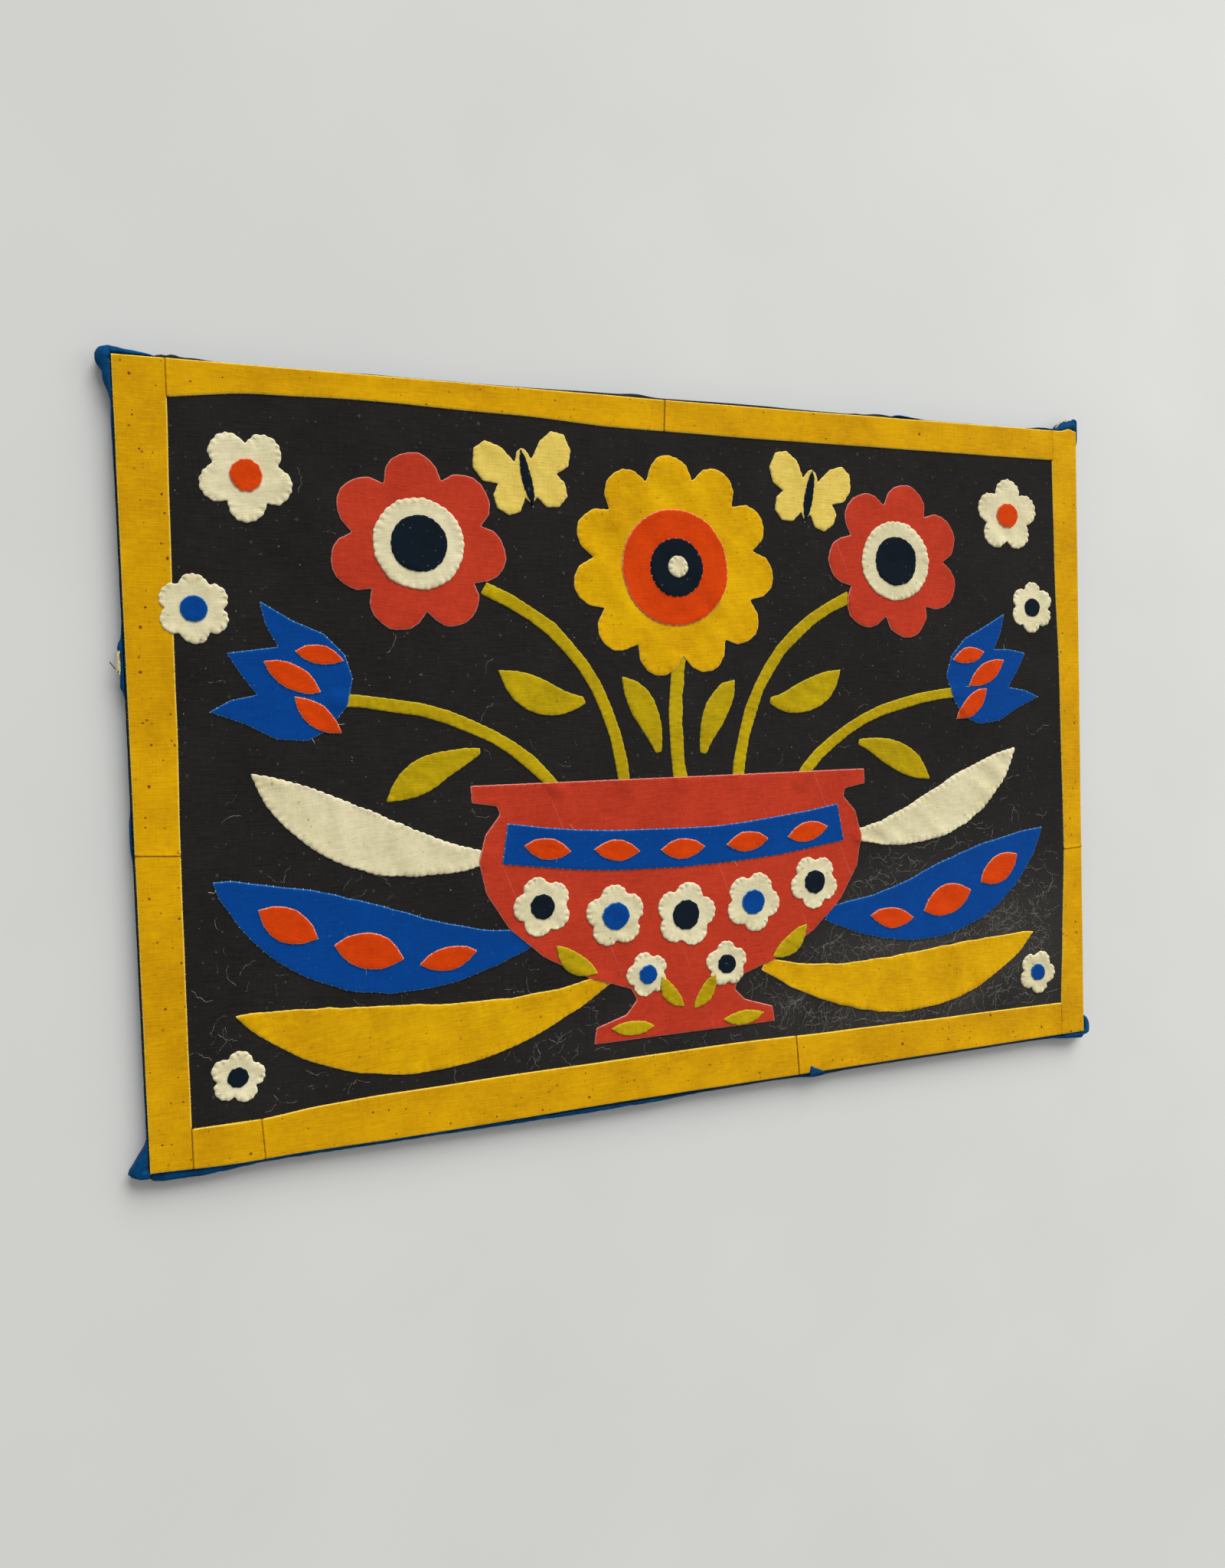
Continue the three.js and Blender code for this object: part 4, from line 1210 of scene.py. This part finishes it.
def stitch_tree():
    """Sets a bent thread on each point, across the edge, with a random slant and size."""
    tree = bpy.data.node_groups.new("hand_stitches", "GeometryNodeTree")
    for name, kind in THREAD_SOCKETS.items():
        tree.interface.new_socket(name, in_out="INPUT", socket_type=f"NodeSocket{kind}")
    tree.interface.new_socket("Stitches", in_out="OUTPUT", socket_type="NodeSocketGeometry")
    given = add_node(tree, "NodeGroupInput")
    inside = product(tree, given["Reach inside"], -1.0)
    fall = product(tree, given["Lift"], END_FALL)
    start = combined(tree, {0: inside})
    middle = combined(tree, {1: given["Bow"], 2: given["Lift"]})
    end = combined(tree, {0: given["Reach outside"], 2: fall})
    bend = {"Resolution": given["Steps"], "Start": start, "Middle": middle, "End": end}
    line = add_node(tree, "GeometryNodeCurveQuadraticBezier", bend)[0]
    round_thread = {"Resolution": THREAD_SIDES, "Radius": given["Thread radius"]}
    ring = add_node(tree, "GeometryNodeCurvePrimitiveCircle", round_thread)[0]
    swept = {"Curve": line, "Profile Curve": ring, "Fill Caps": True}
    thread = add_node(tree, "GeometryNodeCurveToMesh", swept)[0]
    named = add_node(tree, "GeometryNodeInputNamedAttribute", {"Name": "outward"}, data_type="FLOAT_VECTOR")
    outward = {"Vector": named[0]}
    facing = add_node(tree, "FunctionNodeAlignRotationToVector", outward, axis="X", pivot_axis="Z")[0]
    least = product(tree, given["Slant"], -1.0)
    slant = random_value(tree, least, given["Slant"], given["Seed"])
    turn = add_node(tree, "FunctionNodeEulerToRotation", {0: combined(tree, {2: slant})})[0]
    both_turns = {"Rotation": facing, "Rotate By": turn}
    rotation = add_node(tree, "FunctionNodeRotateRotation", both_turns, rotation_space="LOCAL")[0]
    size = random_value(tree, given["Least size"], given["Most size"], given["Seed"])
    on_points = {"Points": given["Places"], "Instance": thread, "Rotation": rotation, "Scale": size}
    set_on = add_node(tree, "GeometryNodeInstanceOnPoints", on_points)[0]
    real = add_node(tree, "GeometryNodeRealizeInstances", {0: set_on})[0]
    cloudy = add_node(tree, "ShaderNodeTexNoise", {"Scale": SWAY_SCALE, "Detail": 1.0})["Color"]
    uneven = vector_node(tree, "SUBTRACT", cloudy, (0.5, 0.5, 0.5))[0]
    level = combined(tree, {0: given["Sway"], 1: given["Sway"]})
    offset = vector_node(tree, "MULTIPLY", uneven, level)[0]
    swayed = add_node(tree, "GeometryNodeSetPosition", {"Geometry": real, "Offset": offset})[0]
    painting = {"Geometry": swayed, "Material": given["Thread"]}
    painted = add_node(tree, "GeometryNodeSetMaterial", painting)[0]
    add_node(tree, "NodeGroupOutput", {0: painted})
    return tree


def thread_sizes(lengths, variety):
    """The stitch tree's values for one kind of thread, from its lengths in millimetres and its variety."""
    metres = {name: length * MM for name, length in zip(THREAD_LENGTHS, lengths)}
    return {**metres, **dict(zip(THREAD_VARIETY, variety))}


STITCH = thread_sizes((0.36, 1.7, 0.9, 0.45, 0.25, 0.0), (0.6, 0.7, 1.25, 4))
HAIR = thread_sizes((0.09, 9.0, 9.0, 0.15, 5.0, 9), (math.pi, 0.35, 1.4, 12))
LINT = thread_sizes((0.26, 0.6, 0.6, 0.25, 0.4, 0.0), (math.pi, 0.4, 1.4, 3))
LOOSE_END = thread_sizes((0.24, 1.0, 9.0, 0.5, 1.5, 6), (0.9, 0.5, 1.3, 10))
FRAYED_STRAND = thread_sizes((0.75, 12, 12, 0.4, 1.0, 3), (0.06, 0.7, 1.0, 12))
DARK_END = thread_sizes((0.5, 3, 14, 0.3, 0.6, 0.0), (0.0, 1.0, 1.0, 12))

# Lint and hairs on the bare ground: how high they lie, how many specks there are and how they spread, and
# how far they keep from the panel's sides and how flat the ground has to be under them
LINT_LIFT = 0.35
LINT_COUNT = 520
LINT_SPREAD = (400, 280)
PANEL_MARGIN = 50
BARE_GAP = 0.1
HAIR_PLACE_SEED = 40
HAIR_SEED = 50

# How many loose ends there are, and how many stitches lie from each to the next
LOOSE_ENDS = 12
LOOSE_END_STEP = 61

# Frayed ends of the edging, on the panel's left side and at its top right corner: place, height and way
FRAYED_PLACES = (
    ((-605.6, 108), 18.9, (0, 1, 0)), ((-606.5, 106), 18.9, (0, 1, 0)), ((-607.4, 108), 18.6, (0, 1, 0)),
    ((-608.2, 106), 18.0, (0, 1, 0)), ((581, 420.5), 15.5, (0.85, 0.5, 0)),
    ((589, 423.5), 15.0, (0.98, 0.16, 0)),
)
DARK_PLACES = (((-606.6, 96), 17.0, (-0.6, 0.8, 0)),)


def lay_threads(name, places, outward, sizes, thread, seed):
    """Short bent threads at the given places, made by the stitch tree, as one mesh."""
    points = bpy.data.meshes.new(f"{name}_places")
    points.from_pydata((np.array(places) * MM).tolist(), [], [])
    facing = points.attributes.new("outward", "FLOAT_VECTOR", "POINT")
    facing.data.foreach_set("vector", np.array(outward, float).ravel())
    carrier = add_object(f"{name}_carrier", points)
    modifier = carrier.modifiers.new("stitches", "NODES")
    modifier.node_group = stitching
    sockets = stitching.interface.items_tree
    names = {socket.name: socket.identifier for socket in sockets if socket.in_out == "INPUT"}
    for key, value in {**sizes, "Seed": seed, "Thread": THREAD_MATERIALS[thread]}.items():
        modifier[names[key]] = value
    evaluated = carrier.evaluated_get(bpy.context.evaluated_depsgraph_get())
    mesh = bpy.data.meshes.new_from_object(evaluated)
    mesh.name = name
    mesh.shade_smooth()
    bpy.data.objects.remove(carrier)
    made = add_object(name, mesh)
    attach(made, "root")


def bare_ground(count, middle, spread, seed):
    """Random places round a point where the ground cloth shows."""
    places = from_panel(np.random.default_rng(seed).normal(middle, spread, (count, 2)))
    within = (np.abs(places - PANEL_CENTRE) < PANEL_HALF - PANEL_MARGIN).all(1)
    bare = height_at(places, eased_heights()) < GROUND_TOP + BARE_GAP
    places = places[within & bare]
    return np.column_stack([places, np.full(len(places), GROUND_TOP + LINT_LIFT)])


def strew(name, places, sizes, seed):
    """Threads at the given places, each facing its own way."""
    angle = np.random.default_rng(seed).uniform(0, 2 * math.pi, len(places))
    facing = np.column_stack([np.cos(angle), np.sin(angle), np.zeros(len(places))])
    lay_threads(name, places, facing, sizes, "lint", seed)


def lay_single(name, threads, sizes, thread, seed):
    """Threads that are placed one by one, each by its place on the panel, its height and its way."""
    places = [(*from_panel(place), up) for place, up, _ in threads]
    lay_threads(name, places, [way for _, _, way in threads], sizes, thread, seed)


stitching = stitch_tree()
for index, (thread, held) in enumerate(stitches.items()):
    if held["places"]:
        lay_threads(f"{thread}_stitches", held["places"], held["outward"], STITCH, thread, index)
for index, (name, count, middle, spread) in enumerate(HAIR_CLUSTERS):
    places = bare_ground(count, middle, spread, HAIR_PLACE_SEED + index)
    strew(f"hairs_{name}", places, HAIR, HAIR_SEED + index)
held = stitches["pale_thread"]
ends = [(index * LOOSE_END_STEP) % len(held["places"]) for index in range(LOOSE_ENDS)]
places, outward = ([held[part][end] for end in ends] for part in ("places", "outward"))
lay_threads("loose_ends", places, outward, LOOSE_END, "cream_thread", seed=70)
lay_single("frayed_strands", FRAYED_PLACES, FRAYED_STRAND, "cream_thread", seed=71)
lay_single("dark_end", DARK_PLACES, DARK_END, "dark_thread", seed=72)
strew("lint_specks", bare_ground(LINT_COUNT, (0, 0), LINT_SPREAD, seed=60), LINT, seed=61)

# Pine grain along each stretcher bar
GRAINS = {"pine_upright": (60, 3.5, 60), "pine_level": (3.5, 60, 60)}
BARS = {"pine_upright": ("left", "right"), "pine_level": ("top", "bottom")}
for name, sides in BARS.items():
    pine = pine_material(name, GRAINS[name])
    for side in sides:
        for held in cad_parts[f"bar_{side}"].material_slots:
            held.material = pine

# Where each cloth belongs, with the CAD part that it stands for hidden
for facts in made_pieces:
    piece = facts["piece"]
    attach(piece, "root")
    if facts["node"]:
        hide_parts(facts["node"])
    if "flat" in facts:
        continue

# Floor, lights and camera

FLOOR_SIZE = 8.0
FLOOR_COLOURS = ("d6d7d4", "dadad7")
FLOOR_ROUGHNESS = 0.9
FLOOR_SHINE = 0.2
SUN_TOWARDS = (0.22, 0.84, 0.58)
SUN_STRENGTH = 2.7
SUN_SOFTNESS = 0.7
WINDOW_PLACE = (2.4, 1.4, 2.0)
WINDOW_TARGET = (0.4, 0.0, 0.0)
WINDOW_SIZE = 2.6
WINDOW_POWER = 28.0
WORLD_COLOUR = "f2f2f0"
WORLD_STRENGTH = 0.4

# The camera's lens in millimetres, its place, and its right, up and back in the frame of the part
CAMERA_LENS = 27.117
CAMERA_SENSOR = 36.0
CAMERA_PLACE = (-0.57691, 0.019045, 1.28985)
CAMERA_TURN = ((0.93030, -0.03042, 0.36554), (0.04399, 0.99862, -0.02885), (-0.36416, 0.04292, 0.93035))


def add_floor():
    material, tree, shader = new_material("floor")
    tone = stretched_noise(tree, object_place(tree), (3, 3, 3), 2.0)
    body = mixed(tree, ranged(tree, tone, 0.3, 0.7), *(paint(colour) for colour in FLOOR_COLOURS))
    tree.links.new(body, shader["Base Color"])
    shader["Roughness"].default_value = FLOOR_ROUGHNESS
    shader["Specular IOR Level"].default_value = FLOOR_SHINE
    half = FLOOR_SIZE / 2
    mesh = bpy.data.meshes.new("floor")
    corners = [(-half, -half, 0), (half, -half, 0), (half, half, 0), (-half, half, 0)]
    mesh.from_pydata(corners, [], [(0, 1, 2, 3)])
    add_object("floor", mesh, material)


def add_window():
    """Daylight from the upper right of the picture."""
    light = bpy.data.lights.new("window", "AREA")
    light.size = WINDOW_SIZE
    light.energy = WINDOW_POWER
    made = add_object("window", light)
    made.location = WINDOW_PLACE
    towards = Vector(WINDOW_TARGET) - Vector(WINDOW_PLACE)
    made.rotation_euler = towards.to_track_quat("-Z", "Y").to_euler()


def add_sky():
    """Even soft light over the whole panel, from above the picture."""
    sun = bpy.data.lights.new("sky", "SUN")
    sun.energy = SUN_STRENGTH
    sun.angle = SUN_SOFTNESS
    add_object("sky", sun).rotation_euler = Vector(SUN_TOWARDS).to_track_quat("Z", "Y").to_euler()


def add_camera():
    """The camera at the photograph's angle to the panel's face."""
    camera = bpy.data.cameras.new("camera")
    camera.lens = CAMERA_LENS
    camera.sensor_width = CAMERA_SENSOR
    made = add_object("camera", camera)
    turn = Matrix(CAMERA_TURN).transposed().to_4x4()
    made.matrix_world = Matrix.Translation(CAMERA_PLACE) @ turn
    bpy.context.scene.camera = made


def set_world():
    world = bpy.data.worlds.new("studio")
    world.use_nodes = True
    background = world.node_tree.nodes["Background"].inputs
    background["Color"].default_value = paint(WORLD_COLOUR)
    background["Strength"].default_value = WORLD_STRENGTH
    bpy.context.scene.world = world


add_floor()
add_sky()
add_window()
add_camera()
set_world()
bpy.context.scene.view_settings.view_transform = "Standard"
